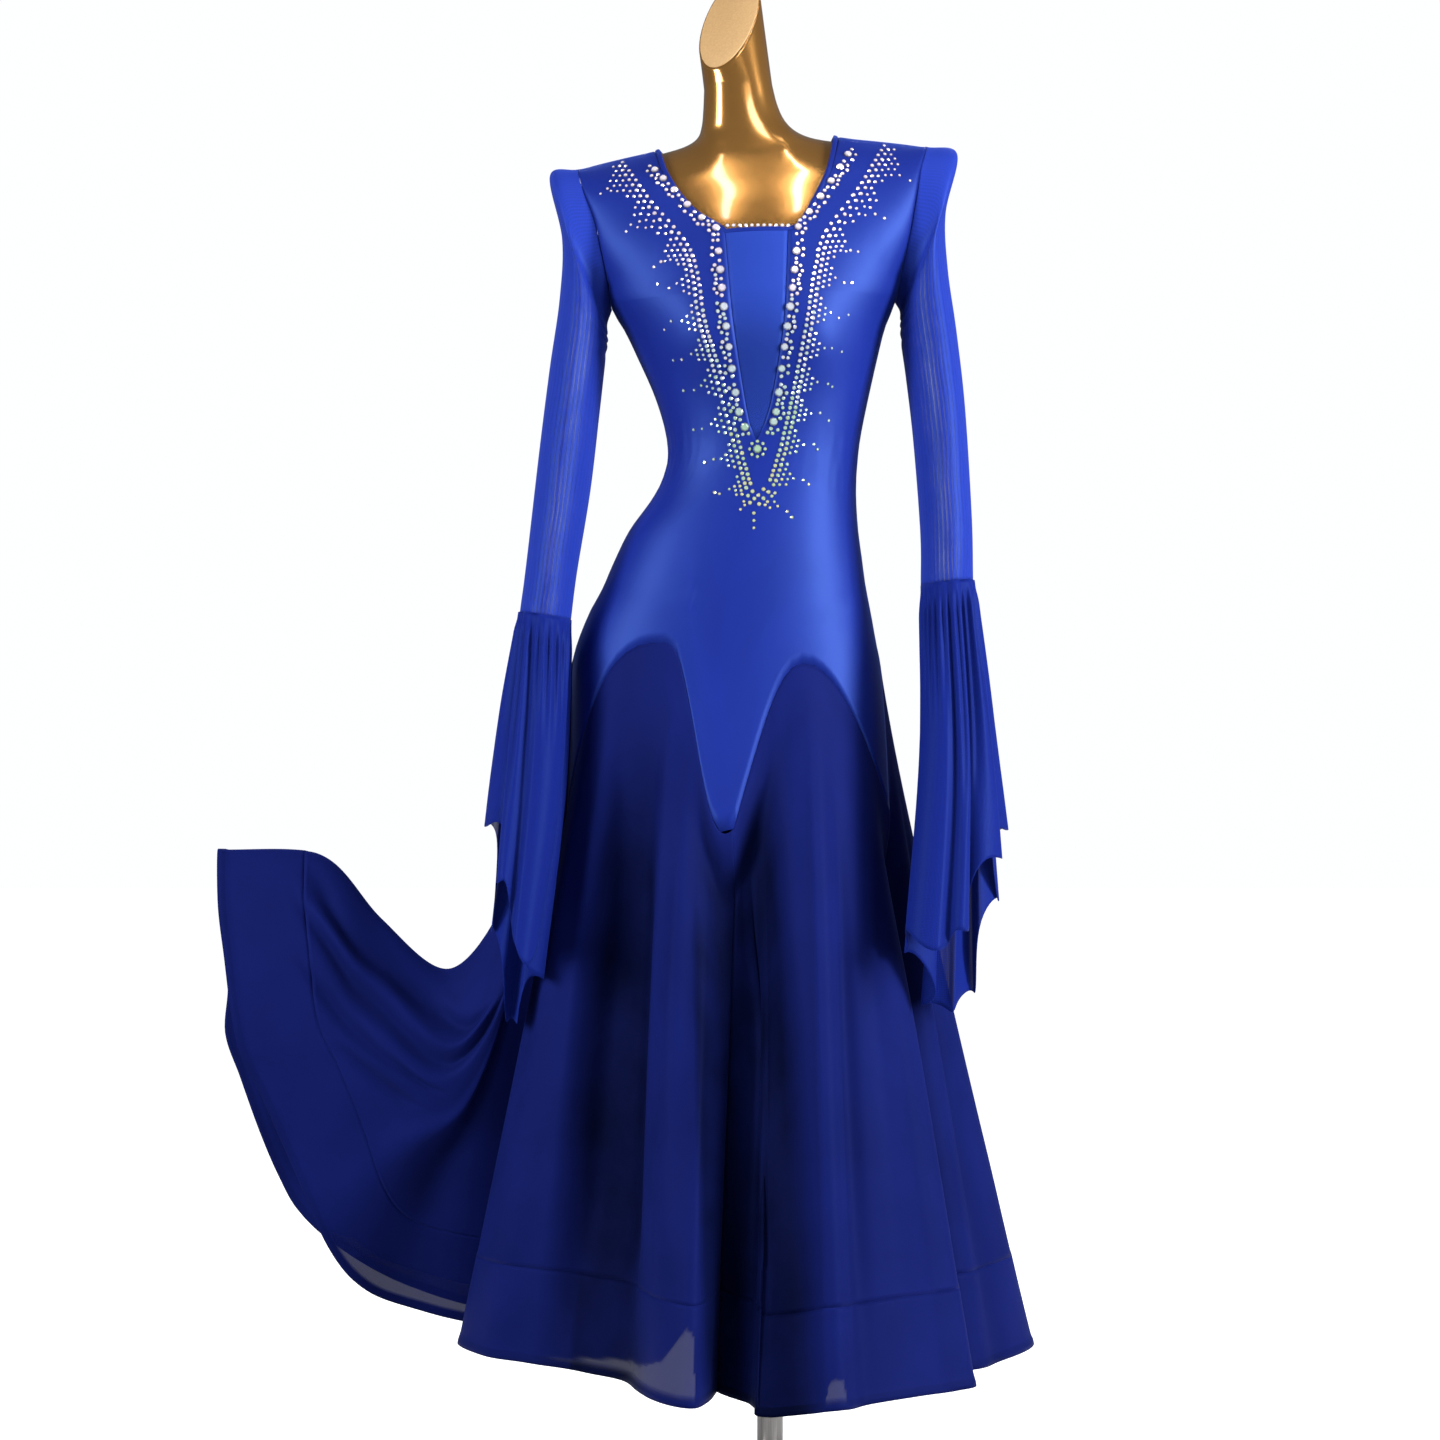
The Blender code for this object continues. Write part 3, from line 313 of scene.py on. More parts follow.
def bodyPoint(theta, height, face):
    # theta is the bearing in degrees from the front, face is -1 in front and 1 behind
    theta, height = np.broadcast_arrays(np.asarray(theta, float), np.asarray(height, float))
    left, right, front, back = np.moveaxis(curve(bodyShape["sections"], height), -1, 0)
    angle = np.radians(theta)
    fat = fatness(angle)
    middle = (left + right) / 2
    x = middle + (right - left) / 2 * np.sin(angle) * fat
    isFront = np.asarray(face) < 0
    turn = -face * np.cos(angle) * fat
    y = ridgeFactor(np.abs(x - middle), height) * np.where(isFront, front, back) * turn
    y = y + armholeReach(height, turn) * np.maximum(0.0, 1.0 - turn) ** bodyShape["armSpread"]
    y = y + np.where(isFront, bustSwell(x - middle, height) * turn, 0.0)
    return stack(x, face * y, height + shoulderLean(x, middle, height))


def bearingAt(x, height):
    # the bearing that bodyPoint needs for an x, found by halving
    left, right = np.moveaxis(curve(bodyShape["sections"], height), -1, 0)[:2]
    wanted = (x - (left + right) / 2) / ((right - left) / 2)
    low, high = np.full(np.shape(wanted), -90.0), np.full(np.shape(wanted), 90.0)
    for _ in range(34):
        middle = (low + high) / 2
        angle = np.radians(middle)
        under = np.sin(angle) * fatness(angle) < wanted
        low, high = np.where(under, middle, low), np.where(under, high, middle)
    return (low + high) / 2


def bodySpot(x, z):
    # the point of the front of the body that is seen at x, z, and its outward normal
    height = np.asarray(z, float)
    for _ in range(6):
        left, right = np.moveaxis(curve(bodyShape["sections"], height), -1, 0)[:2]
        height = z - shoulderLean(x, (left + right) / 2, height)
    theta = bearingAt(x, height)
    aside, above = 0.4, 0.001
    across = bodyPoint(theta + aside, height, -1) - bodyPoint(theta - aside, height, -1)
    up = bodyPoint(theta, height + above, -1) - bodyPoint(theta, height - above, -1)
    return bodyPoint(theta, height, -1), unit(np.cross(across, up))


# the scalloped hip seam and the gores that hang from it
skirtShape = {
    "points": ((-76.0, 0.775), (0.0, 0.7654), (64.0, 0.783), (122.0, 0.775), (180.0, 0.768), (236.0, 0.772)),
    # bearing and height of each arch, lean of its near side, straightness of the ribs
    "arches": (
        (-28.3, 0.9622, 0.20, 1.00),
        (27.9, 0.9408, 0.0, 1.00),
        (90.0, 0.9420, 0.0, 1.10),
        (151.0, 0.9500, 0.0, 1.06),
        (208.0, 0.9560, 0.0, 1.06),
        (270.0, 0.9560, 0.0, 1.00),
    ),
    "hemHeight": 0.198,
    "bandDepth": 0.100,
    "hemMiddle": (-0.030, 0.0),
    "hemReach": (0.300, 0.310),
    "foldGrowth": 1.30,
    # place along the hem, x, y
    "hems": (
        (
            (0.00, -0.300, 0.060), (0.12, -0.341, -0.010), (0.25, -0.305, -0.078), (0.38, -0.258, -0.115),
            (0.52, -0.205, -0.165), (0.64, -0.160, -0.205), (0.78, -0.115, -0.285), (0.88, -0.085, -0.321),
            (0.95, -0.068, -0.292), (1.00, -0.062, -0.262),
        ),
        (
            (0.00, -0.062, -0.262), (0.05, -0.056, -0.292), (0.12, -0.045, -0.326), (0.25, -0.010, -0.341),
            (0.38, 0.030, -0.336), (0.50, 0.066, -0.328), (0.62, 0.100, -0.298), (0.75, 0.145, -0.268),
            (0.88, 0.190, -0.240), (0.95, 0.2065, -0.215), (1.00, 0.185, -0.150),
        ),
        (
            (0.00, 0.185, -0.150), (0.15, 0.212, -0.150), (0.35, 0.252, -0.095), (0.55, 0.287, -0.020),
            (0.70, 0.272, 0.060), (0.85, 0.262, 0.120), (1.00, 0.205, 0.150),
        ),
        (
            (0.00, 0.205, 0.150), (0.15, 0.218, 0.215), (0.30, 0.175, 0.262), (0.50, 0.115, 0.285),
            (0.65, 0.080, 0.330), (0.80, 0.035, 0.350), (0.92, 0.000, 0.325), (1.00, -0.025, 0.250),
        ),
        (
            (0.00, -0.025, 0.250), (0.08, -0.050, 0.325), (0.20, -0.085, 0.350), (0.35, -0.130, 0.330),
            (0.50, -0.165, 0.285), (0.70, -0.215, 0.262), (0.85, -0.262, 0.215), (1.00, -0.240, 0.150),
        ),
    ),
    # hem of the lifted gore: place along it, x, y, z
    "liftedHem": (
        (0.000, -0.240, 0.150, 0.198), (0.045, -0.330, 0.150, 0.203), (0.090, -0.420, 0.140, 0.235),
        (0.140, -0.500, 0.130, 0.285), (0.180, -0.540, 0.130, 0.320), (0.215, -0.5606, 0.130, 0.355),
        (0.260, -0.581, 0.130, 0.405), (0.310, -0.604, 0.125, 0.4726), (0.350, -0.620, 0.120, 0.523),
        (0.385, -0.616, 0.115, 0.575), (0.440, -0.614, 0.090, 0.660), (0.500, -0.6176, 0.060, 0.7343),
        (0.544, -0.6132, 0.035, 0.6743), (0.587, -0.6040, 0.022, 0.6166), (0.635, -0.5945, 0.016, 0.5512),
        (0.667, -0.5841, 0.014, 0.5093), (0.703, -0.5621, 0.014, 0.4653), (0.782, -0.5181, 0.018, 0.3652),
        (0.856, -0.4752, 0.026, 0.2739), (0.892, -0.440, 0.030, 0.2387), (0.935, -0.384, 0.040, 0.2200),
        (1.000, -0.300, 0.060, 0.1980),
    ),
    # sag of the held ridge: place down it, x, z
    "sag": (
        (0.000, 0.0000, 0.0000), (0.224, 0.0503, -0.1017), (0.432, 0.0878, -0.1938), (0.553, 0.0797, -0.2298),
        (0.685, 0.0597, -0.1462), (0.798, 0.0547, -0.0622), (0.850, 0.0437, -0.0344), (1.000, 0.0000, 0.0000),
    ),
    "sagWidth": 1.3,
    "belly": 0.022,
}


def seamPoint(index):
    turns, row = divmod(index, 6)
    return skirtShape["points"][row][0] + 360.0 * turns, skirtShape["points"][row][1]


def seamHeight(gore, theta):
    # height of the scalloped seam at a bearing inside one gore's arch
    topAt, top, lean, _ = skirtShape["arches"][gore]
    nearAt, near = seamPoint(gore)
    farAt, far = seamPoint(gore + 1)
    farSide = (farAt - theta) / (farAt - topAt)
    if gore == 0:
        farSide = farSide - lean * np.sin(2 * np.pi * farSide)
    nearSide = (theta - nearAt) / (topAt - nearAt)
    return np.where(
        theta >= topAt,
        far + (top - far) * np.sin(np.pi / 2 * farSide),
        near + (top - near) * np.sin(np.pi / 2 * nearSide),
    )


def seamStations(gore, steps):
    # bearings and heights at even steps along each half of an arch
    topAt = skirtShape["arches"][gore][0]
    found = []
    for start, end in ((seamPoint(gore)[0], topAt), (topAt, seamPoint(gore + 1)[0])):
        fine = np.linspace(start, end, 241)
        face = -1 if math.cos(math.radians((start + end) / 2)) > 1e-9 else 1
        lengths = runningLength(bodyPoint(fine, seamHeight(gore, fine), face))
        theta = np.interp(np.linspace(0, lengths[-1], steps + 1), lengths, fine)
        part = np.stack([theta, seamHeight(gore, theta)], axis=1)
        found.append(part if not found else part[1:])
    return np.concatenate(found)


def seamPlace(gore, along):
    fine = fineSeams[gore]
    scaled = np.clip(along, 0.0, 1.0) * (len(fine) - 1)
    i = np.clip(scaled.astype(int), 0, len(fine) - 2)
    part = (scaled - i)[..., None]
    return fine[i] * (1 - part) + fine[i + 1] * part


def fineSeam(gore):
    stations = seamStations(gore, 60)
    middle = (stations[:, 0][:-1] + stations[:, 0][1:]) / 2
    topAt = skirtShape["arches"][gore][0]
    if gore in (2, 5):
        face = np.where(np.cos(np.radians(np.append(middle, middle[-1]))) > 1e-9, -1, 1)
    else:
        face = np.full(len(stations), -1 if math.cos(math.radians(topAt)) > 0 else 1)
    return bodyPoint(stations[:, 0], stations[:, 1], face)


fineSeams = [fineSeam(g) for g in range(6)]


def gorePoint(gore, along, down):
    along, down = np.broadcast_arrays(np.asarray(along, float), np.asarray(down, float))
    start = seamPlace(gore, along)
    if gore == 5:
        return liftedPoint(start, along, down)
    x, y = np.moveaxis(curve(skirtShape["hems"][gore], along), -1, 0)
    midX, midY = skirtShape["hemMiddle"]
    reachX, reachY = skirtShape["hemReach"]
    bearing = np.arctan2((y - midY) / reachY, (x - midX) / reachX)
    plainX, plainY = midX + reachX * np.cos(bearing), midY + reachY * np.sin(bearing)
    own = skirtShape["arches"][gore][3]
    before, after = skirtShape["arches"][(gore - 1) % 6][3], skirtShape["arches"][(gore + 1) % 6][3]
    other = np.where(along > 0.5, after, before)
    out = down ** mix(own, (own + other) / 2, np.abs(2 * along - 1))
    fold = down ** skirtShape["foldGrowth"]
    return stack(
        mix(start[..., 0], plainX, out) + (x - plainX) * fold,
        mix(start[..., 1], plainY, out) + (y - plainY) * fold,
        mix(start[..., 2], skirtShape["hemHeight"], down),
    )


def liftedPoint(start, along, down):
    end = curve(skirtShape["liftedHem"], along)
    sagX, sagZ = np.moveaxis(curve(skirtShape["sag"], down), -1, 0)
    weight = np.maximum(0.0, np.sin(np.pi * along)) ** skirtShape["sagWidth"]
    belly = skirtShape["belly"] * np.sin(np.pi * down) * np.sin(2 * np.pi * along) * weight
    point = mix(start, end, down[..., None]) + stack(sagX * weight, belly, sagZ * weight)
    # its edges follow the ribs that it shares with the front and back gores
    front = (along > 0.5)[..., None]
    frontRib = gorePoint(0, np.zeros_like(along), down)
    backRib = gorePoint(4, np.ones_like(along), down)
    rib = np.where(front, frontRib, backRib)
    sideStart = np.where(front, fineSeams[5][-1], fineSeams[5][0])
    hem = np.array(skirtShape["liftedHem"])[:, 1:]
    sideEnd = np.where(front, hem[-1], hem[0])
    line = mix(sideStart, sideEnd, down[..., None])
    return point + (rib - line) * ((2 * along - 1) ** 2)[..., None]


def hipEdge(face, side, steps):
    # bearings and heights of one half of the hip seam, side seam first
    seams = [seamStations(gore, steps) for gore in range(6)]
    flip = np.array([-1.0, 1.0])
    if face < 0 and side < 0:
        return np.concatenate([seams[5][steps:] - [360.0, 0.0], seams[0][1:]])
    if face < 0:
        return np.concatenate([seams[1], seams[2][1:steps + 1]])[::-1] * flip
    if side > 0:
        return np.concatenate([seams[2][steps:], seams[3][1:]]) - [180.0, 0.0]
    return np.concatenate([seams[4], seams[5][1:steps + 1]])[::-1] * flip + [180.0, 0.0]


def topEdge(face, side, count):
    # x and z of one half of the shoulder and the neckline, armhole first
    neck = np.array(bodyShape["neck"][face, side])
    shoulders = bodyShape["shoulderColumns"] * bodyShape["fineness"]
    edges = curve(bodyShape["sections"], bodyShape["armTop"])
    edge = edges[0] if side < 0 else edges[1]
    x = mix(edge, neck[0, 0], np.arange(shoulders + 1) / shoulders)
    z = curve(bodyShape["shoulderLine"], np.abs(x - (edges[0] + edges[1]) / 2))[..., 0]
    lengths = runningLength(neck)
    share = np.arange(1, count - shoulders + 1) / (count - shoulders)
    rest = curve(np.column_stack([lengths, neck]), lengths[-1] * share)
    return np.concatenate([x, rest[:, 0]]), np.concatenate([z, rest[:, 1]])


def bodyHeights(bottom, top):
    # even rows up to the foot of the armhole, then rows that close up towards both ends
    fine = bodyShape["fineness"]
    rows = bodyShape["lowerRows"]
    lowerCount = (len(rows) - 1) * fine
    upperCount = bodyShape["upperSteps"] * fine
    low = np.interp(np.arange(lowerCount + 1) / fine, np.arange(len(rows)), rows)
    high = (1 - np.cos(np.pi * np.arange(1, upperCount + 1) / upperCount)) / 2
    return np.concatenate([
        mix(bottom[:, None], bodyShape["armFoot"], low[None]),
        mix(bodyShape["armFoot"], top[:, None], high[None]),
    ], axis=1)


def bodyHalf(face, side):
    # points of one half of the front or back, side seam first, and the row of the tip of the insert
    mirror = 1.0 if side < 0 else -1.0
    tip = bodyShape["tipRow"] * bodyShape["fineness"]
    bottom = hipEdge(face, side, bodyShape["halfArch"] * bodyShape["fineness"])
    count = len(bottom) - 1
    topX, topZ = topEdge(face, side, count)
    topTheta = bearingAt(topX, topZ) * mirror
    heights = bodyHeights(bottom[:, 1], topZ)
    total = heights.shape[1]
    j = np.arange(total)
    if face > 0:
        centre = mix(0.0, topTheta[count], ease(j / (total - 1)))
    else:
        tipHeight, tipX, _ = bodyShape["insert"][0]
        tipTheta = bearingAt(np.array(tipX), np.array(tipHeight)) * mirror
        slit = curve(bodyShape["insert"], heights[count])[:, 0 if side < 0 else 1]
        slitTheta = bearingAt(slit, heights[count]) * mirror
        centre = np.where(j <= tip, mix(0.0, tipTheta, j / tip), slitTheta)
    even = np.arange(count + 1)[:, None] / count
    first = ((bottom[:, 0] + 90.0) / (bottom[count, 0] + 90.0))[:, None]
    last = ((topTheta + 90.0) / (topTheta[count] + 90.0))[:, None]
    part = np.where(
        j[None] <= tip,
        mix(first, even, ease(j / tip)[None]),
        mix(even, last, np.clip((j - tip) / (total - 1 - tip), 0.0, 1.0)[None]),
    )
    theta = (-90.0 + (centre[None] + 90.0) * part) * mirror
    shown = theta if face < 0 else 180.0 - theta
    return bodyPoint(shown, heights, face), tip


def bodyPanel(name, face):
    parts = []
    for side in (-1, 1):
        points, _ = bodyHalf(face, side)
        points = points[:, ::-1]
        if (face < 0) == (side > 0):
            points = points[::-1]
        points[..., 1] += face * bodyShape["out"]
        points = points + gridNormals(points) * bodyCreases(points, face)[..., None]
        parts.append(gridPiece(name, points, bodyShape["flat"]))
    return sewn(name, parts, bodyShape["wall"])


def bodyCreases(points, face):
    # faint pulls in the stretch cloth, each with a low welt above it
    weltShare, weltAway = 0.55, 1.7
    lift = np.zeros(points.shape[:2])
    for x, z, reach, width, slope, depth in bodyPulls[face]:
        dx, dz = points[..., 0] - x, points[..., 2] - z
        line = dz - slope * dx
        lift = lift - depth * bump(line, 0.0, width) * bump(dx, 0.0, reach)
        lift = lift + weltShare * depth * bump(line, weltAway * width, width) * bump(dx, 0.0, reach)
    return lift


# x, height, half length, half width, slope, depth
bodyPulls = {
    -1: (
        (-0.090, 1.175, 0.045, 0.0050, 0.25, 0.0010),
        (-0.080, 1.150, 0.050, 0.0055, 0.12, 0.0009),
        (0.070, 1.168, 0.040, 0.0050, -0.22, 0.0009),
        (0.062, 1.142, 0.045, 0.0055, -0.10, 0.0008),
        (-0.165, 1.362, 0.022, 0.0050, 0.75, 0.0007),
        (0.128, 1.368, 0.022, 0.0050, -0.75, 0.0007),
        (-0.100, 1.010, 0.080, 0.0080, -0.20, 0.0007),
        (0.050, 0.985, 0.070, 0.0080, 0.22, 0.0007),
    ),
    1: (
        (-0.080, 1.178, 0.050, 0.0055, 0.18, 0.0011),
        (-0.050, 1.150, 0.060, 0.0060, 0.06, 0.0010),
        (0.060, 1.170, 0.050, 0.0055, -0.18, 0.0011),
        (0.030, 1.128, 0.055, 0.0060, -0.05, 0.0009),
        (-0.020, 1.200, 0.060, 0.0060, 0.03, 0.0009),
        (-0.130, 1.350, 0.035, 0.0060, 0.50, 0.0011),
        (0.095, 1.358, 0.035, 0.0060, -0.50, 0.0010),
    ),
}


insertShape = {
    "columns": 12,
    "roundness": 0.9,
    "inset": 0.0004,
    # heights at which a painted shade darkens it downwards and lifts again lower down, each with how far that
    # takes
    "darkFrom": (1.345, 0.075),
    "paleFrom": (1.215, 0.040),
    "paleShare": 0.3,
    "flat": (0.068, 0.23),
    "wall": 0.0006,
}


def insertPanel():
    left, tip = bodyHalf(-1, -1)
    right, _ = bodyHalf(-1, 1)
    a, b = left[-1, tip:], right[-1, tip:]
    part = np.linspace(0.0, 1.0, insertShape["columns"] + 1)[:, None, None]
    wide = np.linalg.norm(b - a, axis=-1)[None, :, None]
    outward = unit(np.cross(right[-8, tip:] - left[-8, tip:], np.gradient(a, axis=0)))
    bulge = 4 * part * (1 - part) * wide**2 / insertShape["roundness"] - insertShape["inset"]
    points = a[None] * (1 - part) + b[None] * part + outward[None] * bulge
    points = points[:, ::-1]
    darkFrom, darkOver = insertShape["darkFrom"]
    paleFrom, paleOver = insertShape["paleFrom"]
    # painted shade, darkest part way down the insert
    paintedShade = ease((darkFrom - points[..., 2]) / darkOver)
    paintedShade = paintedShade * (1.0 - insertShape["paleShare"] * ease((paleFrom - points[..., 2]) / paleOver))
    panel = gridPiece("neckInsert", points, insertShape["flat"], {"paintedShade": paintedShade})
    return sewn("neckInsert", [panel], insertShape["wall"])


def neckLoop():
    # the whole neckline, from the left shoulder round the front and the back
    shoulders = bodyShape["shoulderColumns"] * bodyShape["fineness"]
    tops = {(f, s): bodyHalf(f, s)[0][shoulders:, -1] for f in (-1, 1) for s in (-1, 1)}
    left, right = tops[-1, -1], tops[-1, 1][::-1]
    part = np.linspace(0.0, 1.0, 15)[1:-1, None]
    wide = np.linalg.norm(right[0] - left[-1])
    middle = left[-1] * (1 - part) + right[0] * part
    middle[:, 1] -= 4 * part[:, 0] * (1 - part[:, 0]) * wide**2 / insertShape["roundness"]
    return np.concatenate([left, middle, right, tops[1, 1][1:], tops[1, -1][::-1][1:-1]])


bindingShape = {
    # towards the neck opening, outwards
    "section": (
        (0.0002, -0.0010), (0.0002, 0.0004), (0.0012, 0.0011), (0.0028, 0.0013), (0.0044, 0.0011),
        (0.0054, 0.0004), (0.0054, -0.0010), (0.0028, -0.0013),
    ),
    # the edge leans to the first point, and its outside faces away from the second
    "pull": (-0.025, 0.0, 1.56),
    "heart": (-0.02, 0.0, 1.38),
    "flat": (0.55, 0.012),
}


def ribbonRound(name, loop, shape):
    # a section carried round a closed line
    line = np.concatenate([loop, loop[:1]])
    tangent = unit(np.roll(loop, -1, axis=0) - np.roll(loop, 1, axis=0))
    tangent = np.concatenate([tangent, tangent[:1]])
    inward = np.array(shape["pull"]) - line
    inward = unit(inward - tangent * (inward * tangent).sum(axis=-1, keepdims=True))
    outward = np.cross(tangent, inward)
    facing = np.sign((outward * (line - shape["heart"])).sum(axis=-1, keepdims=True))
    outward = outward * facing
    section = np.array(list(shape["section"]) + [shape["section"][0]])
    points = line[:, None] + inward[:, None] * section[None, :, :1] + outward[:, None] * section[None, :, 1:]
    band = sewn(name, [gridPiece(name, points, shape["flat"])], 0)
    skin = bmesh.new()
    skin.from_mesh(band.data)
    bmesh.ops.recalc_face_normals(skin, faces=skin.faces)
    skin.to_mesh(band.data)
    skin.free()
    return band


def goreGrid(gore, columns, rows, bandRows):
    along = np.linspace(0.0, 1.0, columns + 1)[:, None]
    ribs = gorePoint(gore, along, np.linspace(0.0, 1.0, 41)[None])
    length = np.linalg.norm(np.diff(ribs, axis=1), axis=-1).sum(axis=1)[:, None]
    start = 1.0 - skirtShape["bandDepth"] / length
    upper = start * np.linspace(0.0, 1.0, rows + 1)[None]
    lower = start + (1.0 - start) * np.linspace(0.0, 1.0, bandRows + 1)[None, 1:]
    down = np.concatenate([upper, lower], axis=1)
    along = np.broadcast_to(along, down.shape)
    points = gorePoint(gore, along, down)
    folds = goreFolds(gore, along, down)
    sunk = ribValleys(gore, points, down)
    deep = foldShape["deep"]
    # painted shade, darker in the troughs of the folds and of the sunk ribs
    paintedShade = np.clip(-folds / deep, 0.0, 1.0) + np.clip(np.linalg.norm(sunk, axis=-1) / deep, 0.0, 1.0)
    points = points + gridNormals(points) * folds[..., None] + sunk
    return points, along, down, start, length, np.clip(paintedShade, 0.0, 1.0)


foldShape = {
    # depth at which the painted shade of a fold or a sunk rib is full
    "deep": 0.026,
    # share of the way down over which a fold grows, and where it may flatten again
    "growth": 0.45,
    "flatFrom": 0.72,
    # width at the seam as a share of that at the hem; folds over the broad width have level floors
    "seamWidth": 0.55,
    "broad": 0.12,
    "swagStart": 0.10,
    "swagEnd": 0.06,
    "swagWidths": (0.35, 1.0),
    "swagLeast": 0.3,
    "ribEdge": 0.06,
    "seamEdge": 0.10,
}


def goreFolds(gore, along, down):
    # soft folds that run from the seam to the hem
    look = foldShape
    lift = np.zeros(along.shape)
    for atHem, atSeam, width, height, first, left in goreFoldTable[gore]:
        middle = mix(atSeam, atHem, down)
        leaving = ease((down - look["flatFrom"]) / (1.0 - look["flatFrom"]))
        share = ease((down - first) / look["growth"]) * mix(1.0, left, leaving)
        spread = np.abs((along - middle) / (width * mix(look["seamWidth"], 1.0, down)))
        lift = lift + height * np.exp(-spread ** (4.0 if width > look["broad"] else 2.0)) * share
    for places, width, height in swagTable.get(gore, ()):
        start, end = places[0][0], places[-1][0]
        middle = curve(places, down)[..., 0]
        within = ease((down - start) / look["swagStart"]) * ease((end - down) / look["swagEnd"])
        spread = width * mix(*look["swagWidths"], np.sin(np.pi * (down - start) / (end - start)))
        lift = lift + height * bump(along, middle, np.maximum(spread, look["swagLeast"] * width)) * within
    ribs = ease(along / look["ribEdge"]) * ease((1.0 - along) / look["ribEdge"])
    return lift * ribs * ease(down / look["seamEdge"])


# each fold: place at the hem, place at the seam, half width, height, where it starts, share left at the hem
goreFoldTable = [
    (
        (0.26, 0.26, 0.080, 0.006, 0.05, 0.8), (0.55, 0.48, 0.122, -0.036, 0.00, 0.45),
        (0.80, 0.70, 0.075, 0.010, 0.05, 0.8),
    ),
    (
        (0.19, 0.21, 0.250, -0.038, 0.00, 0.9),
        (0.47, 0.54, 0.060, 0.012, 0.00, 0.8), (0.445, 0.515, 0.012, 0.0025, 0.00, 0.8),
        (0.58, 0.60, 0.040, -0.007, 0.10, 0.5),
        (0.72, 0.68, 0.075, 0.005, 0.10, 0.8), (0.86, 0.80, 0.040, -0.003, 0.30, 1.0),
    ),
    (
        (0.30, 0.40, 0.060, -0.006, 0.10, 0.8), (0.52, 0.50, 0.070, 0.003, 0.10, 0.0),
        (0.76, 0.66, 0.070, -0.007, 0.10, 1.0),
    ),
    (
        (0.22, 0.30, 0.060, 0.006, 0.10, 1.0), (0.42, 0.46, 0.065, -0.013, 0.10, 0.8),
        (0.62, 0.58, 0.060, 0.007, 0.10, 1.0), (0.80, 0.70, 0.050, -0.009, 0.20, 0.9),
    ),
    (
        (0.18, 0.28, 0.055, -0.010, 0.10, 0.9), (0.38, 0.42, 0.060, 0.007, 0.10, 1.0),
        (0.58, 0.54, 0.060, -0.014, 0.10, 0.8), (0.78, 0.68, 0.055, 0.006, 0.10, 1.0),
    ),
    (
        (0.90, 0.86, 0.035, -0.012, 0.30, 0.9), (0.825, 0.78, 0.035, 0.008, 0.30, 0.8),
        (0.12, 0.20, 0.040, -0.010, 0.20, 0.9), (0.21, 0.30, 0.040, 0.007, 0.30, 0.8),
    ),
]

# swags that hang from the held end of the lifted gore: half width, height, then places down and along
swagRows = (
    (0.020, -0.0075, (0.42, 0.50, 0.57, 0.65, 0.77, 0.87), (0.66, 0.61, 0.555, 0.545, 0.555, 0.520)),
    (0.022, -0.0085, (0.38, 0.50, 0.60, 0.69, 0.79, 0.88), (0.72, 0.665, 0.625, 0.605, 0.600, 0.545)),
    (0.018, 0.0045, (0.40, 0.50, 0.60, 0.69, 0.79, 0.88), (0.69, 0.637, 0.590, 0.575, 0.578, 0.532)),
    (0.018, -0.0060, (0.55, 0.64, 0.72, 0.80, 0.89), (0.72, 0.685, 0.668, 0.655, 0.590)),
    (0.016, -0.0045, (0.62, 0.70, 0.78, 0.86), (0.76, 0.735, 0.715, 0.680)),
    (0.020, -0.0080, (0.42, 0.50, 0.58, 0.66, 0.77, 0.87), (0.34, 0.39, 0.44, 0.455, 0.445, 0.480)),
    (0.022, -0.0090, (0.38, 0.50, 0.60, 0.69, 0.79, 0.88), (0.28, 0.335, 0.375, 0.395, 0.400, 0.455)),
    (0.018, -0.0060, (0.55, 0.64, 0.72, 0.80, 0.89), (0.27, 0.31, 0.33, 0.345, 0.400)),
)
swagTable = {5: [(tuple(zip(down, along)), width, height) for width, height, down, along in swagRows]}

# how far each rib between two gores is sunk: depth at its top, depth at the hem, half width at each
ribShape = {"middleX": -0.02, "growth": 0.14}
ribTable = {
    0: (0.034, 0.020, 0.040, 0.022),
    1: (0.016, 0.016, 0.018, 0.022),
    2: (0.010, 0.016, 0.018, 0.030),
    3: (0.012, 0.020, 0.020, 0.032),
}


def ribValleys(gore, points, down):
    moved = np.zeros(points.shape)
    for rib, end in ((gore, 1.0), (gore - 1, 0.0)):
        if rib not in ribTable:
            continue
        topDepth, hemDepth, topWidth, hemWidth = ribTable[rib]
        line = gorePoint(gore, np.full(down.shape, end), down)
        away = np.hypot(points[..., 0] - line[..., 0], points[..., 1] - line[..., 1])
        inward = unit(stack(ribShape["middleX"] - line[..., 0], -line[..., 1], 0.0))
        depth = mix(topDepth, hemDepth, down) * ease(down / ribShape["growth"])
        moved = moved + inward * (depth * bump(away, 0.0, mix(topWidth, hemWidth, down)))[..., None]
    return moved


goreCloth = {
    "wall": 0.0009,
    "bandWall": 0.0012,
    # how much the band and the rolled edge stand out, and the depth of the roll
    "bandRise": 0.0006,
    "rollRise": 0.0010,
    "roll": 0.010,
    "rollSoft": 0.002,
    # the outer chiffon hangs alone above its turned hem
    "sheerSoft": 0.004,
    "turned": 0.0085,
    "turnedSoft": 0.0012,
}


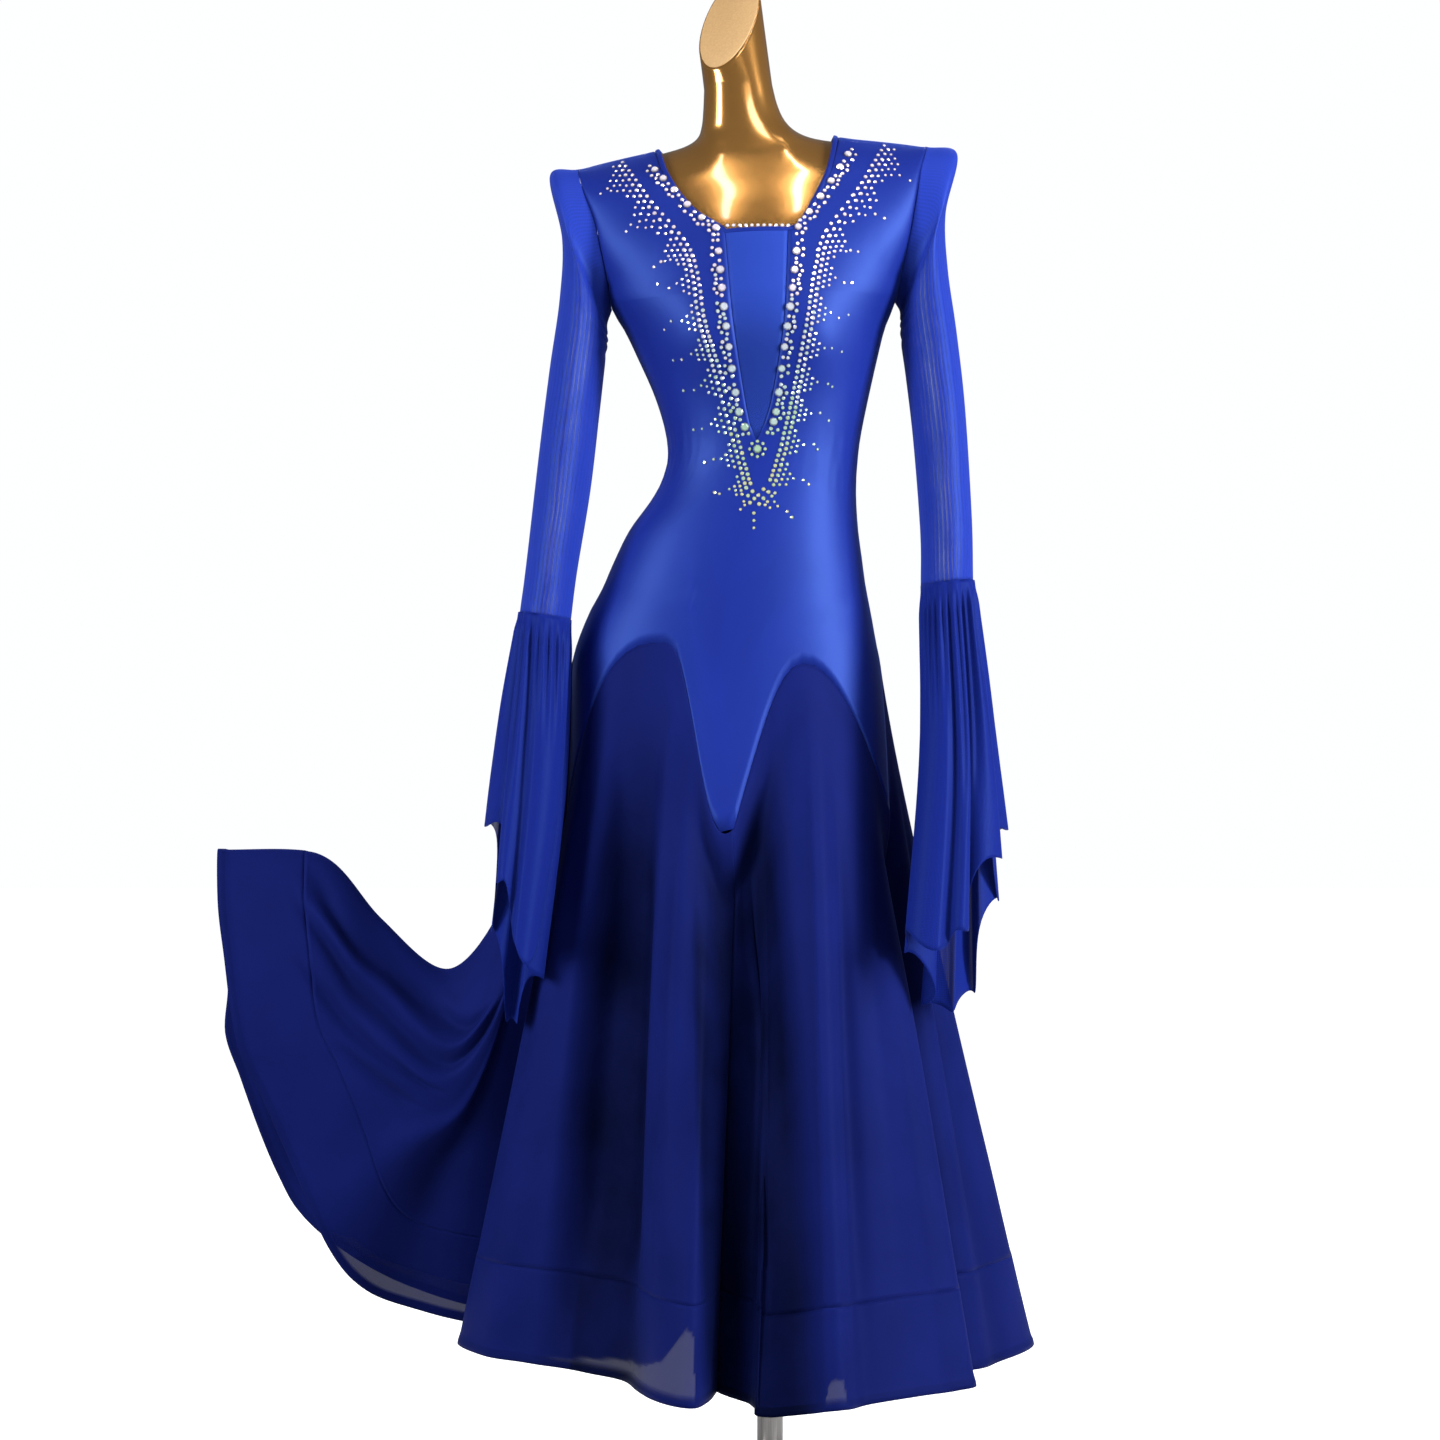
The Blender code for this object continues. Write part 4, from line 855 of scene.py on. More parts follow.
def gorePieces(title, gore, columns, rows, bandRows):
    points, along, down, start, length, paintedShade = goreGrid(gore, columns, rows, bandRows)
    across = runningLength(points[:, -1])[-1]
    outward = gridNormals(points)
    # the band is laid over the gore, and its lower edge is rolled
    fromHem = (1.0 - down) * length
    rise = goreCloth["bandRise"] * (down >= start)
    rise = rise + goreCloth["rollRise"] * ease((goreCloth["roll"] - fromHem) / goreCloth["rollSoft"])
    fallen = points + outward * rise[..., None]
    # the deep front folds get a painted shade on top of that of their troughs
    paintedShade = np.maximum(paintedShade, frontShade(gore, points))
    masks = {"sheer": goreSheer(gore, along, fromHem), "paintedShade": paintedShade, "fromHem": fromHem}
    made = []
    for name, part, long, wall in (
        (title, slice(None, rows + 1), float(length.mean()), goreCloth["wall"]),
        (title + "HemBand", slice(rows, None), skirtShape["bandDepth"], goreCloth["bandWall"]),
    ):
        own = {label: values[:, part] for label, values in masks.items()}
        made.append(sewn(name, [gridPiece(name, fallen[:, part], (across, long), own)], wall))
    return made


# painted shade over the deep front folds: top, height over which it starts, left edge at 0.6 and at 0.2 high,
# right edge at the same, softness, depth of the shade
frontShades = (
    (0.76, 0.14, -0.090, -0.076, 0.030, 0.052, 0.014, 0.95),
    (0.68, 0.12, -0.192, -0.222, -0.132, -0.124, 0.014, 0.90),
)
shadeHeights = {"top": 0.60, "drop": 0.40, "reach": (-0.6, 1.3), "rightSoft": 1.8}


def frontShade(gore, points):
    # painted shade over the two deep folds of the front, dark from side to side: the middle one and the left
    # one
    x, z = points[..., 0], points[..., 2]
    shade = np.zeros(x.shape)
    if gore > 1:
        return shade
    for top, over, leftHigh, leftLow, rightHigh, rightLow, soft, deep in frontShades:
        down = np.clip((shadeHeights["top"] - z) / shadeHeights["drop"], *shadeHeights["reach"])
        left, right = mix(leftHigh, leftLow, down), mix(rightHigh, rightLow, down)
        within = ease((x - left) / soft) * ease((right - x) / (shadeHeights["rightSoft"] * soft))
        shade = np.maximum(shade, deep * within * ease((top - z) / over))
    return shade


def goreSheer(gore, along, fromHem):
    # where the second layer stops short and the outer chiffon hangs alone, above its turned hem
    sheer = np.zeros(along.shape)
    for rows in goreSheerTable[gore]:
        top = np.interp(along, [r[0] for r in rows], [r[1] for r in rows])
        sheer = np.maximum(sheer, ease((top - fromHem) / goreCloth["sheerSoft"]) * (top > 0.0))
    return sheer * ease((fromHem - goreCloth["turned"]) / goreCloth["turnedSoft"])


# each patch: place along, height above the hem
goreSheerTable = [
    ((
        (0.33, 0.0), (0.42, 0.011), (0.58, 0.021), (0.72, 0.030), (0.80, 0.043), (0.865, 0.080),
        (0.885, 0.076), (0.90, 0.0),
    ),),
    (((0.445, 0.0), (0.452, 0.026), (0.475, 0.034), (0.505, 0.030), (0.512, 0.0)),),
    (((0.83, 0.0), (0.86, 0.026), (0.92, 0.024), (0.94, 0.0)),),
    (((0.30, 0.0), (0.38, 0.030), (0.52, 0.046), (0.60, 0.024), (0.64, 0.0)),),
    (((0.45, 0.0), (0.55, 0.028), (0.64, 0.040), (0.72, 0.018), (0.76, 0.0)),),
    (
        ((0.815, 0.0), (0.85, 0.036), (0.90, 0.047), (0.95, 0.047), (1.0, 0.043)),
        ((0.0, 0.030), (0.06, 0.036), (0.14, 0.022), (0.17, 0.0)),
    ),
]


# sleeves: outer x, outer z, inner x, inner z, middle y, half depth, from the sleeve head to the elbow seam
sleeveShape = {
    "left": (
        (-0.2420, 1.4780, -0.1790, 1.3150, 0.000, 0.056),
        (-0.2285, 1.4080, -0.1775, 1.2980, -0.004, 0.060),
        (-0.2310, 1.3420, -0.1805, 1.2760, -0.008, 0.061),
        (-0.2415, 1.2650, -0.1870, 1.2150, -0.016, 0.060),
        (-0.2520, 1.1770, -0.1965, 1.1300, -0.026, 0.058),
        (-0.2650, 1.0560, -0.2105, 1.0400, -0.040, 0.055),
        (-0.2715, 0.9970, -0.2165, 0.9885, -0.050, 0.050),
    ),
    "right": (
        (0.2057, 1.5015, 0.1430, 1.3290, 0.000, 0.056),
        (0.1925, 1.4355, 0.1425, 1.3140, -0.004, 0.060),
        (0.1945, 1.3740, 0.1440, 1.2925, -0.008, 0.061),
        (0.2035, 1.3040, 0.1485, 1.2560, -0.016, 0.060),
        (0.2120, 1.2200, 0.1560, 1.1850, -0.026, 0.058),
        (0.2180, 1.1000, 0.1625, 1.0850, -0.042, 0.055),
        (0.2188, 1.0315, 0.1625, 1.0260, -0.050, 0.050),
    ),
    # bearing, drift down the arm, half width and height of the long soft lines
    "softLines": (
        (1.15, 0.5, 0.22, 0.0016), (2.0, -0.4, 0.20, -0.0014), (-1.3, 0.4, 0.25, 0.0016),
        (0.45, -0.3, 0.2, -0.0010),
    ),
    # place down the arm, slope and depth of the short pulls at the underarm
    "pulls": ((0.26, 0.05, 0.0018), (0.33, 0.07, 0.0015), (0.41, 0.06, 0.0010)),
    "pullSize": (0.9, 0.022),
    # the folds fade towards both ends; at the armhole the sleeve stands out sideways and forwards by this
    "foldEnds": (0.12, 0.08),
    "armholeOut": (0.0003, 0.0002),
    "headFrom": 0.10,
    "headFade": 0.14,
    "columns": 72,
    "rowsPerRing": 18,
    "flat": (0.31, 0.50),
    "wall": 0.0005,
}


def ringPoint(outer, front, inner, back, phi):
    # a closed ring through four points: phi is 0 at the outer one and a quarter turn at the front one
    outer, front, inner, back = (np.asarray(p, float) for p in (outer, front, inner, back))
    phi = np.asarray(phi, float)[..., None]
    middle = (outer + front + inner + back) / 4
    skew = (outer + inner - front - back) / 4
    sides = (outer - inner) / 2 * np.cos(phi) + (front - back) / 2 * np.sin(phi)
    return middle + sides + skew * np.cos(2 * phi)


def angleFrom(phi, bearing):
    # the shorter way round from a bearing
    return np.angle(np.exp(1j * (phi - bearing)))


def roundAngles(side, columns):
    turn = -1 if side == "left" else 1
    return turn * -2 * np.pi * np.arange(columns + 1) / columns


def armholeRing(side, phi):
    middle = (bodyShape["armTop"] + bodyShape["armFoot"]) / 2
    height = middle + (bodyShape["armTop"] - bodyShape["armFoot"]) / 2 * np.cos(phi)
    face = np.where(np.sin(phi) >= 0, -1.0, 1.0)
    outX, outY = sleeveShape["armholeOut"]
    return bodyPoint(side * 90.0, height, face) + stack(side * outX, face * outY, 0.0)


def smoothLoft(rings, t):
    # rings: count, points, 3; t: rows from 0 to count - 1
    count = len(rings)
    i = np.clip(t.astype(int), 0, count - 2)
    f = (t - i)[:, None, None]
    before, after = np.clip(i - 1, 0, None), np.clip(i + 2, None, count - 1)
    a, b = rings[i], rings[i + 1]
    riseA = (b - rings[before]) / (i + 1 - before)[:, None, None]
    riseB = (rings[after] - a) / (after - i)[:, None, None]
    return cubic(a, b, riseA, riseB, f)


def sleevePiece(name, side):
    phi = roundAngles(side, sleeveShape["columns"])
    rings = [armholeRing(-1 if side == "left" else 1, phi)]
    for outerX, outerZ, innerX, innerZ, y, depth in sleeveShape[side]:
        outer, inner = np.array([outerX, y, outerZ]), np.array([innerX, y, innerZ])
        middle = (outer + inner) / 2
        reach = np.array([0.0, depth, 0.0])
        rings.append(ringPoint(outer, middle - reach, inner, middle + reach, phi))
    rows = sleeveShape["rowsPerRing"] * (len(rings) - 1)
    t = np.linspace(0.0, len(rings) - 1, rows + 1)
    points = np.moveaxis(smoothLoft(np.array(rings), t), 0, 1)
    outward = gridNormals(points)
    outward[0] = outward[-1] = unit(outward[0] + outward[-1])
    down = t / t.max()
    points = points + outward * sleeveFolds(phi, down)[..., None]
    head = 1.0 - ease((down - sleeveShape["headFrom"]) / sleeveShape["headFade"])
    return sewn(name, [gridPiece(name, points, sleeveShape["flat"], {"head": head})], sleeveShape["wall"])


def sleeveFolds(phi, down):
    # long soft lines down the sleeve and short pulls at the underarm
    phi, down = np.meshgrid(phi, down, indexing="ij")
    lift = np.zeros(phi.shape)
    for bearing, drift, width, height in sleeveShape["softLines"]:
        around = angleFrom(np.abs(phi) % (2 * np.pi), bearing + drift * down)
        lift = lift + height * bump(around, 0.0, width) * np.maximum(0.0, np.sin(np.pi * down)) ** 0.6
    reach, width = sleeveShape["pullSize"]
    for at, slope, depth in sleeveShape["pulls"]:
        inner = bump(angleFrom(phi, np.pi), 0.0, reach)
        lift = lift - depth * inner * bump(down, at + slope * np.sin(phi), width)
    top, foot = sleeveShape["foldEnds"]
    return lift * ease(down / top) * ease((1 - down) / foot)


# flounces: outer, front, inner and back points, at the seam, half way down and at the hem
flounceShape = {
    "left": (
        (
            (-0.2715, -0.050, 0.9970), (-0.2440, -0.100, 0.9930),
            (-0.2165, -0.050, 0.9885), (-0.2440, 0.000, 0.9930),
        ),
        (
            (-0.2870, -0.065, 0.8850), (-0.2500, -0.135, 0.8200),
            (-0.2245, -0.085, 0.8050), (-0.2630, -0.030, 0.7750),
        ),
        (
            (-0.2990, -0.085, 0.7655), (-0.2660, -0.176, 0.6400),
            (-0.2490, -0.120, 0.6320), (-0.2860, -0.056, 0.5660),
        ),
    ),
    "right": (
        (
            (0.2188, -0.050, 1.0315), (0.1900, -0.100, 1.0290),
            (0.1625, -0.050, 1.0260), (0.1900, 0.000, 1.0290),
        ),
        (
            (0.2330, -0.065, 0.9000), (0.1950, -0.150, 0.8350),
            (0.1560, -0.115, 0.8400), (0.2070, -0.045, 0.8000),
        ),
        (
            (0.2450, -0.090, 0.7620), (0.1850, -0.200, 0.6520),
            (0.1380, -0.170, 0.6570), (0.2000, -0.112, 0.5780),
        ),
    ),
    "waves": {"left": 7, "right": 9},
    "sharpness": 0.35,
    # bearing and half width of the broad panel on the inner front that hangs flat, and its soft edge
    "flatPanel": {"left": (2.25, 0.75), "right": (2.62, 0.72)},
    "panelEdge": 0.30,
    "gather": 0.0022,
    "flute": 0.0135,
    "zigzag": 1.25,
    # narrow pleats: height, how many to a wave, how they drift round
    "pleat": 0.0024,
    "pleatShare": 3,
    "pleatDrift": 0.8,
    # they grow down to the first place, fade from the second, and stay on the flat panel only near the seam
    "pleatGrown": 0.10,
    "pleatFade": (0.35, 0.55),
    "panelFade": 0.45,
    # how dark the painted shade of the pleats and of the tops of the valleys is, and where the valleys are
    # fully dark
    "pleatShade": 0.8,
    "topShade": 0.25,
    "fullShade": 0.4,
    # share of painted shade left on the far wall, and the sine of the bearing at which that begins
    "farShade": 0.15,
    "farFrom": (-0.2, 0.5),
    "sheerWidth": 0.35,
    "sheerFrom": (0.90, 0.05),
    "columns": 240,
    "rows": 72,
    "flat": (0.75, 0.40),
    "wall": 0.0005,
}


def flouncePiece(name, side):
    look = flounceShape
    phi = roundAngles(side, look["columns"])[:, None]
    down = np.linspace(0.0, 1.0, look["rows"] + 1)[None]
    turns = look["waves"][side] * phi + np.pi / 2
    wave = np.sin(turns + look["sharpness"] * np.sin(turns))
    bearing, half = look["flatPanel"][side]
    full = ease((np.abs(angleFrom(phi, bearing)) - half) / look["panelEdge"])
    # only the near wall has the full painted shade in its valleys, as the far one is seen from its inside
    near = mix(look["farShade"], 1.0, grown(np.sin(phi), look["farFrom"]))
    pleat = np.sin(look["pleatShare"] * turns + look["pleatDrift"] * np.sin(2 * phi))
    cardinal = smoothLoft(np.array(look[side]), 2 * down[0])
    points = ringPoint(*np.moveaxis(cardinal, 1, 0), phi)
    outward = (points - cardinal.mean(axis=1)) * [1.0, 1.0, 0.0]
    # the hem runs level on each ridge and drops in the valleys
    fall = np.gradient(points[..., 2], turns[:, 0], axis=0)
    steps = look["zigzag"] * down**3 * fall * np.cos(turns)
    # the pleats run down from the gathered seam and open out before the hem
    fade = ease(down / look["pleatGrown"]) * (1.0 - grown(down, look["pleatFade"]))
    fade = fade * np.maximum(full, 1.0 - ease(down / look["panelFade"]))
    push = mix(look["gather"], look["flute"], down) * wave * full + look["pleat"] * pleat * fade
    points = points + unit(outward) * push[..., None] + stack(0.0, 0.0, steps * full)
    points[-1] = points[0]
    # painted shade in the valleys of the flutes and between the pleats
    valley = np.clip(-wave, 0.0, 1.0) * full * mix(look["topShade"], 1.0, ease(down / look["fullShade"]))
    paintedShade = near * np.maximum(valley, look["pleatShade"] * np.clip(-pleat, 0.0, 1.0) * fade)
    sheer = bump(angleFrom(phi, 0.0), 0.0, look["sheerWidth"]) * grown(down, look["sheerFrom"])
    masks = {"paintedShade": paintedShade, "sheer": sheer}
    return sewn(name, [gridPiece(name, points, look["flat"], masks)], look["wall"])


# the limbless form that the dress is pulled over
formShape = {
    "ease": 0.0043,
    "foot": 0.800,
    "thighEase": 0.020,
    # height, middle x, half width
    "neck": (
        (1.4700, -0.0198, 0.1845), (1.4900, -0.0198, 0.1815), (1.4975, -0.0198, 0.1670),
        (1.5030, -0.0205, 0.1340), (1.5080, -0.0215, 0.1030), (1.5140, -0.0228, 0.0735),
        (1.5220, -0.0250, 0.0560), (1.5340, -0.0290, 0.0465), (1.5520, -0.0325, 0.0410),
        (1.5750, -0.0350, 0.0375),
    ),
    # where the thighs begin to narrow and over what height, and where the neck takes over
    "thighFrom": 0.95,
    "thighDepth": 0.15,
    "neckFrom": 1.47,
    "cutMiddle": (-0.0445, 0.0, 1.648),
    "cutReach": (0.0335, 0.0365),
    "cutSlope": (0.85, 1.44),
    "columns": 112,
    # rings of the trunk, the shoulders and the neck: top, count
    "rings": ((1.440, 89), (1.530, 45), (1.575, 9)),
    "neckRings": 14,
    "flat": (0.7, 0.95),
}


def formRing(height, theta):
    left, right, front, back = curve(bodyShape["sections"], height)
    thigh = ease((formShape["thighFrom"] - height) / formShape["thighDepth"])
    gap = formShape["ease"] + formShape["thighEase"] * thigh
    middle, half = (left + right) / 2, (right - left) / 2
    if height > formShape["neckFrom"]:
        middle, half = curve(formShape["neck"], height)
        gap = 0.0
    angle = np.radians(theta)
    fat = fatness(angle)
    x = middle + (half - gap) * np.sin(angle) * fat
    cosine = np.cos(angle)
    depth = np.where(cosine > 0, front, back) - max(gap, formShape["ease"])
    y = ridgeFactor(np.abs(x - middle), height, formShape["ease"]) * depth * np.abs(cosine) * fat
    y = y + np.where(cosine > 0, bustSwell(x - middle, height) * cosine * fat, 0.0)
    return stack(x, np.where(cosine > 0, -y, y), height + shoulderLean(x, middle, height))


def cutPlace(x, y):
    # a point of the slanted plane of the cut, x and y from its middle
    midX, midY, midZ = formShape["cutMiddle"]
    slopeX, slopeY = formShape["cutSlope"]
    return midX + x, midY + y, midZ + slopeX * x + slopeY * y


def cutOval(theta):
    reachX, reachY = formShape["cutReach"]
    return stack(*cutPlace(reachX * np.sin(np.radians(theta)), -reachY * np.cos(np.radians(theta))))


def formPiece():
    theta = np.linspace(0.0, 360.0, formShape["columns"] + 1)
    heights = [formShape["foot"]]
    for height, count in formShape["rings"]:
        heights += list(np.linspace(heights[-1], height, count + 1)[1:])
    rings = [formRing(height, theta) for height in heights]
    last = rings[-1]
    top = cutOval(theta)
    for part in np.linspace(0.0, 1.0, formShape["neckRings"] + 1)[1:]:
        rings.append(mix(last, top, part))
    centre = top.mean(axis=0)
    rings += [mix(top, centre, part) for part in (0.05, 0.4, 0.7, 1.0)]
    foot = rings[0].mean(axis=0)
    under = [mix(rings[0], foot, part) for part in (1.0, 0.6, 0.05)]
    points = np.moveaxis(np.array(under + rings), 0, 1)[:, ::-1]
    points[-1] = points[0]
    return sewn("goldForm", [gridPiece("goldForm", points, formShape["flat"])], 0, 1e-6)


capShape = {"share": 0.955, "top": 0.0012, "foot": -0.0008, "round": 0.0006}


def neckCap():
    # the flat matt disc let into the cut of the neck
    bpy.ops.mesh.primitive_cylinder_add(vertices=72, radius=1.0, depth=1.0, location=(0, 0, 0))
    cap = called(bpy.context.active_object, "neckCap")
    slopeX, slopeY = formShape["cutSlope"]
    normal = Vector((-slopeX, -slopeY, 1.0)).normalized()
    reachX, reachY = (reach * capShape["share"] for reach in formShape["cutReach"])
    for vertex in cap.data.vertices:
        flat = Vector(cutPlace(vertex.co.x * reachX, vertex.co.y * reachY))
        vertex.co = flat + normal * capShape["top" if vertex.co.z > 0 else "foot"]
    softened(cap, "softRim", capShape["round"], 2)
    cap.data.shade_smooth()
    bpy.ops.object.shade_smooth_by_angle(angle=math.radians(40))
    cap.select_set(False)
    return cap


def softened(piece, name, width, segments):
    rim = piece.modifiers.new(name, "BEVEL")
    rim.width = width
    rim.segments = segments
    rim.limit_method = "ANGLE"
    bpy.ops.object.modifier_apply(modifier=rim.name)


# the stand: radius, heights of foot and top, and rounding of each turned piece
standShape = {
    "baseDisc": {"radius": 0.150, "foot": 0.0, "top": 0.012, "round": 0.003},
    "baseHub": {"radius": 0.026, "foot": 0.0123, "top": 0.052, "round": 0.002},
    "standPole": {"radius": 0.0143, "foot": 0.0523, "top": 0.7694, "round": 0.0004},
    "flangeHub": {"radius": 0.026, "foot": 0.7697, "top": 0.7920, "round": 0.0015},
    "flangeDisc": {"radius": 0.045, "foot": 0.7920, "top": 0.7997, "round": 0.0015},
}


def turnedPiece(name):
    size = standShape[name]
    bpy.ops.mesh.primitive_cylinder_add(
        vertices=96, radius=size["radius"], depth=size["top"] - size["foot"],
        location=(0, 0, (size["top"] + size["foot"]) / 2),
    )
    piece = called(bpy.context.active_object, name)
    bpy.ops.object.transform_apply(location=True, rotation=True, scale=True)
    softened(piece, "turnedRim", size["round"], 3)
    bpy.ops.object.shade_smooth_by_angle(angle=math.radians(35))
    piece.select_set(False)
    return piece


def joined(name, pieces):
    for piece in pieces:
        piece.select_set(True)
    bpy.context.view_layer.objects.active = pieces[0]
    bpy.ops.object.join()
    whole = called(bpy.context.active_object, name)
    whole.select_set(False)
    return whole


# stones: a cut crystal with a flat table, modelled once and copied along simple lines
stoneShape = {
    "sides": 8,
    # heights of girdle and crown, and the table's width, for a stone one wide
    "girdle": 0.12,
    "crown": 0.20,
    "table": 0.58,
    # corners below this belong to the rim, which is given a painted shade
    "rimTop": 0.2,
    "bigStone": 0.0094,
    "smallStone": 0.0049,
    "tinyStone": 0.0043,
    "lanePitch": 0.0058,
    "rowPitch": 0.0065,
    # lines on the front, seen from the front: place along, x, z
    "innerLine": {
        -1: (
            (0.0, -0.129, 1.480), (0.12, -0.1085, 1.456), (0.24, -0.079, 1.4215), (0.31, -0.060, 1.408),
            (0.36, -0.057, 1.385), (0.55, -0.051, 1.319), (0.70, -0.044, 1.265), (0.85, -0.034, 1.208),
            (1.0, -0.0265, 1.190),
        ),
        1: (
            (0.0, 0.087, 1.499), (0.12, 0.068, 1.466), (0.24, 0.044, 1.429), (0.31, 0.029, 1.409),
            (0.36, 0.027, 1.385), (0.55, 0.0195, 1.319), (0.70, 0.012, 1.265), (0.85, 0.0045, 1.208),
            (1.0, -0.002, 1.191),
        ),
    },
    "outerLine": {
        -1: (
            (0.0, -0.164, 1.488), (0.12, -0.134, 1.440), (0.22, -0.098, 1.395), (0.30, -0.084, 1.365),
            (0.45, -0.074, 1.303), (0.60, -0.059, 1.255), (0.75, -0.042, 1.193), (0.90, -0.027, 1.138),
            (1.0, -0.020, 1.112),
        ),
        1: (
            (0.0, 0.127, 1.506), (0.12, 0.097, 1.452), (0.22, 0.060, 1.400), (0.30, 0.050, 1.365),
            (0.45, 0.040, 1.303), (0.60, 0.029, 1.245), (0.75, 0.018, 1.193), (0.90, 0.002, 1.138),
            (1.0, -0.014, 1.115),
        ),
    },
}


def stoneMesh():
    # table, crown and a short girdle that sits on the cloth
    girdle = stoneShape["girdle"]
    bpy.ops.mesh.primitive_cylinder_add(
        vertices=stoneShape["sides"], radius=0.5, depth=girdle, location=(0, 0, girdle / 2),
    )
    stone = bpy.context.active_object
    bpy.ops.object.transform_apply(location=True, rotation=True, scale=True)
    bpy.ops.object.mode_set(mode="EDIT")
    bpy.ops.mesh.select_all(action="DESELECT")
    bpy.ops.object.mode_set(mode="OBJECT")
    for face in stone.data.polygons:
        face.select = face.normal.z > 0.9
    bpy.ops.object.mode_set(mode="EDIT")
    bpy.ops.mesh.extrude_region_move(TRANSFORM_OT_translate={"value": (0, 0, stoneShape["crown"])})
    bpy.ops.transform.resize(value=(stoneShape["table"], stoneShape["table"], 1.0))
    bpy.ops.object.mode_set(mode="OBJECT")
    corners = np.array([v.co[:] for v in stone.data.vertices])
    faces = [tuple(f.vertices) for f in stone.data.polygons]
    bpy.data.objects.remove(stone)
    return corners, faces


def stonesOn(name, spots, pattern):
    # spots: x, z, diameter, colour share, lift
    shape = bmesh.new()
    layers = [shape.verts.layers.float.new(label) for label in ("tone", "rim")]
    for x, z, wide, colour, lift in spots:
        point, normal = bodySpot(np.array([x]), np.array([z]))
        stonePlace(shape, layers, Vector(point[0]), Vector(normal[0]), (wide, colour, lift), pattern)
    mesh = bpy.data.meshes.new(name)
    shape.to_mesh(mesh)
    shape.free()
    piece = bpy.data.objects.new(name, mesh)
    bpy.context.scene.collection.objects.link(piece)
    return piece


def stonePlace(shape, layers, point, normal, size, pattern):
    wide, colour, lift = size
    tone, rim = layers
    corners, faces = pattern
    turn = random.random() * math.pi
    side = normal.orthogonal().normalized()
    other = normal.cross(side)
    made = []
    for a, b, c in corners:
        u = a * math.cos(turn) - b * math.sin(turn)
        v = a * math.sin(turn) + b * math.cos(turn)
        vertex = shape.verts.new(point + (side * u + other * v) * wide + normal * (c * wide + lift))
        vertex[tone] = colour
        vertex[rim] = float(c < stoneShape["rimTop"])
        made.append(vertex)
    for face in faces:
        shape.faces.new([made[k] for k in face])


def lineFrame(line, at, side):
    # a place on a line of the layout, the way along it and the way out towards the side seam
    step = 0.01
    along = curve(line, min(1.0, at + step)) - curve(line, max(0.0, at - step))
    along = unit(along)
    outer = np.array([-along[1], along[0]])
    if outer[0] * side < 0:
        outer = -outer
    return curve(line, at), along, outer


def uneven(spread):
    return random.uniform(-spread, spread)


clusterShape = {
    "count": 17,
    "start": 0.35,
    "tone": 0.75,
    "toneSpread": 0.06,
    "sizes": (0.92, 1.05),
    "lift": 0.0003,
    # the fan: half angle, its unevenness, how far out its stones sit and how large they are
    "fan": 86,
    "fanSpread": 5,
    "reach": 0.0080,
    "reachSpread": (-0.0002, 0.0004),
    "petalSizes": (0.88, 1.04),
    "petalTone": 0.12,
    "betweenSize": 0.95,
    "betweenReach": 0.0052,
}


def clusterSpots(line, side):
    # large stones along the inner line, each with a fan of small ones on its outer side
    look = clusterShape
    small = stoneShape["smallStone"]
    spots = []
    for k in range(look["count"]):
        at = (k + look["start"]) / look["count"]
        middle, along, outer = lineFrame(line, at, side)
        tone = look["tone"] * at + uneven(look["toneSpread"])
        spots.append((*middle, stoneShape["bigStone"] * random.uniform(*look["sizes"]), tone, look["lift"]))
        petals = 5 if k % 3 else 4
        for p in range(petals):
            turn = math.radians(mix(-look["fan"], look["fan"], p / (petals - 1)) + uneven(look["fanSpread"]))
            way = outer * math.cos(turn) + along * math.sin(turn)
            spot = middle + way * (look["reach"] + random.uniform(*look["reachSpread"]))
            size = small * random.uniform(*look["petalSizes"])
            spots.append((*spot, size, tone + uneven(look["petalTone"]), 0.0))
        between, _, outer = lineFrame(line, min(1.0, at + 0.5 / look["count"]), side)
        spots.append((*between, small * look["betweenSize"], tone, 0.0))
        if k % 2:
            spots.append((*(between + outer * look["betweenReach"]), stoneShape["tinyStone"], tone, 0.0))
    return spots


bandShape = {
    # stones in each row of one round, with one more up to a place along the line
    "reaches": (2, 3, 4, 5, 4, 3),
    "wideUntil": 0.30,
    "slip": 0.0003,
    "sizes": (0.92, 1.05),
    "thinning": 0.05,
    "toneSpread": 0.14,
    # sprays: the row of each round, their lanes, and how uneven they are
    "sprayRow": 3,
    "sprays": (5.6, 7.1),
    "spraySpread": (0.94, 1.08),
    "spraySlip": 0.004,
    "spraySizes": (0.75, 0.95),
}


def bandSpots(line, side):
    # a band of small stones in staggered lanes, with sprays that step outwards and thin out
    look = bandShape
    lane, pitch = stoneShape["lanePitch"], stoneShape["rowPitch"]
    small, tiny = stoneShape["smallStone"], stoneShape["tinyStone"]
    rows = int(runningLength(curve(line, np.linspace(0.0, 1.0, 101)))[-1] / pitch)
    spots = []
    for k in range(rows + 1):
        at = k / rows
        middle, along, outer = lineFrame(line, at, side)
        row = k % len(look["reaches"])
        for n in range(look["reaches"][row] + (at < look["wideUntil"])):
            off = lane * (n - 0.5) + uneven(look["slip"])
            slip = pitch * 0.5 * (n % 2) + uneven(look["slip"])
            size = small if n < 2 else tiny * (1.0 - look["thinning"] * n)
            size = size * random.uniform(*look["sizes"])
            tone = at + uneven(look["toneSpread"])
            spots.append((*(middle + outer * off + along * slip), size, tone, 0.0))
        for step in look["sprays"] if row == look["sprayRow"] else ():
            off = lane * (step - 0.5) * random.uniform(*look["spraySpread"])
            slip = uneven(look["spraySlip"])
            size = tiny * random.uniform(*look["spraySizes"])
            tone = at + uneven(look["toneSpread"])
            spots.append((*(middle + outer * off + along * slip), size, tone, 0.0))
    return spots


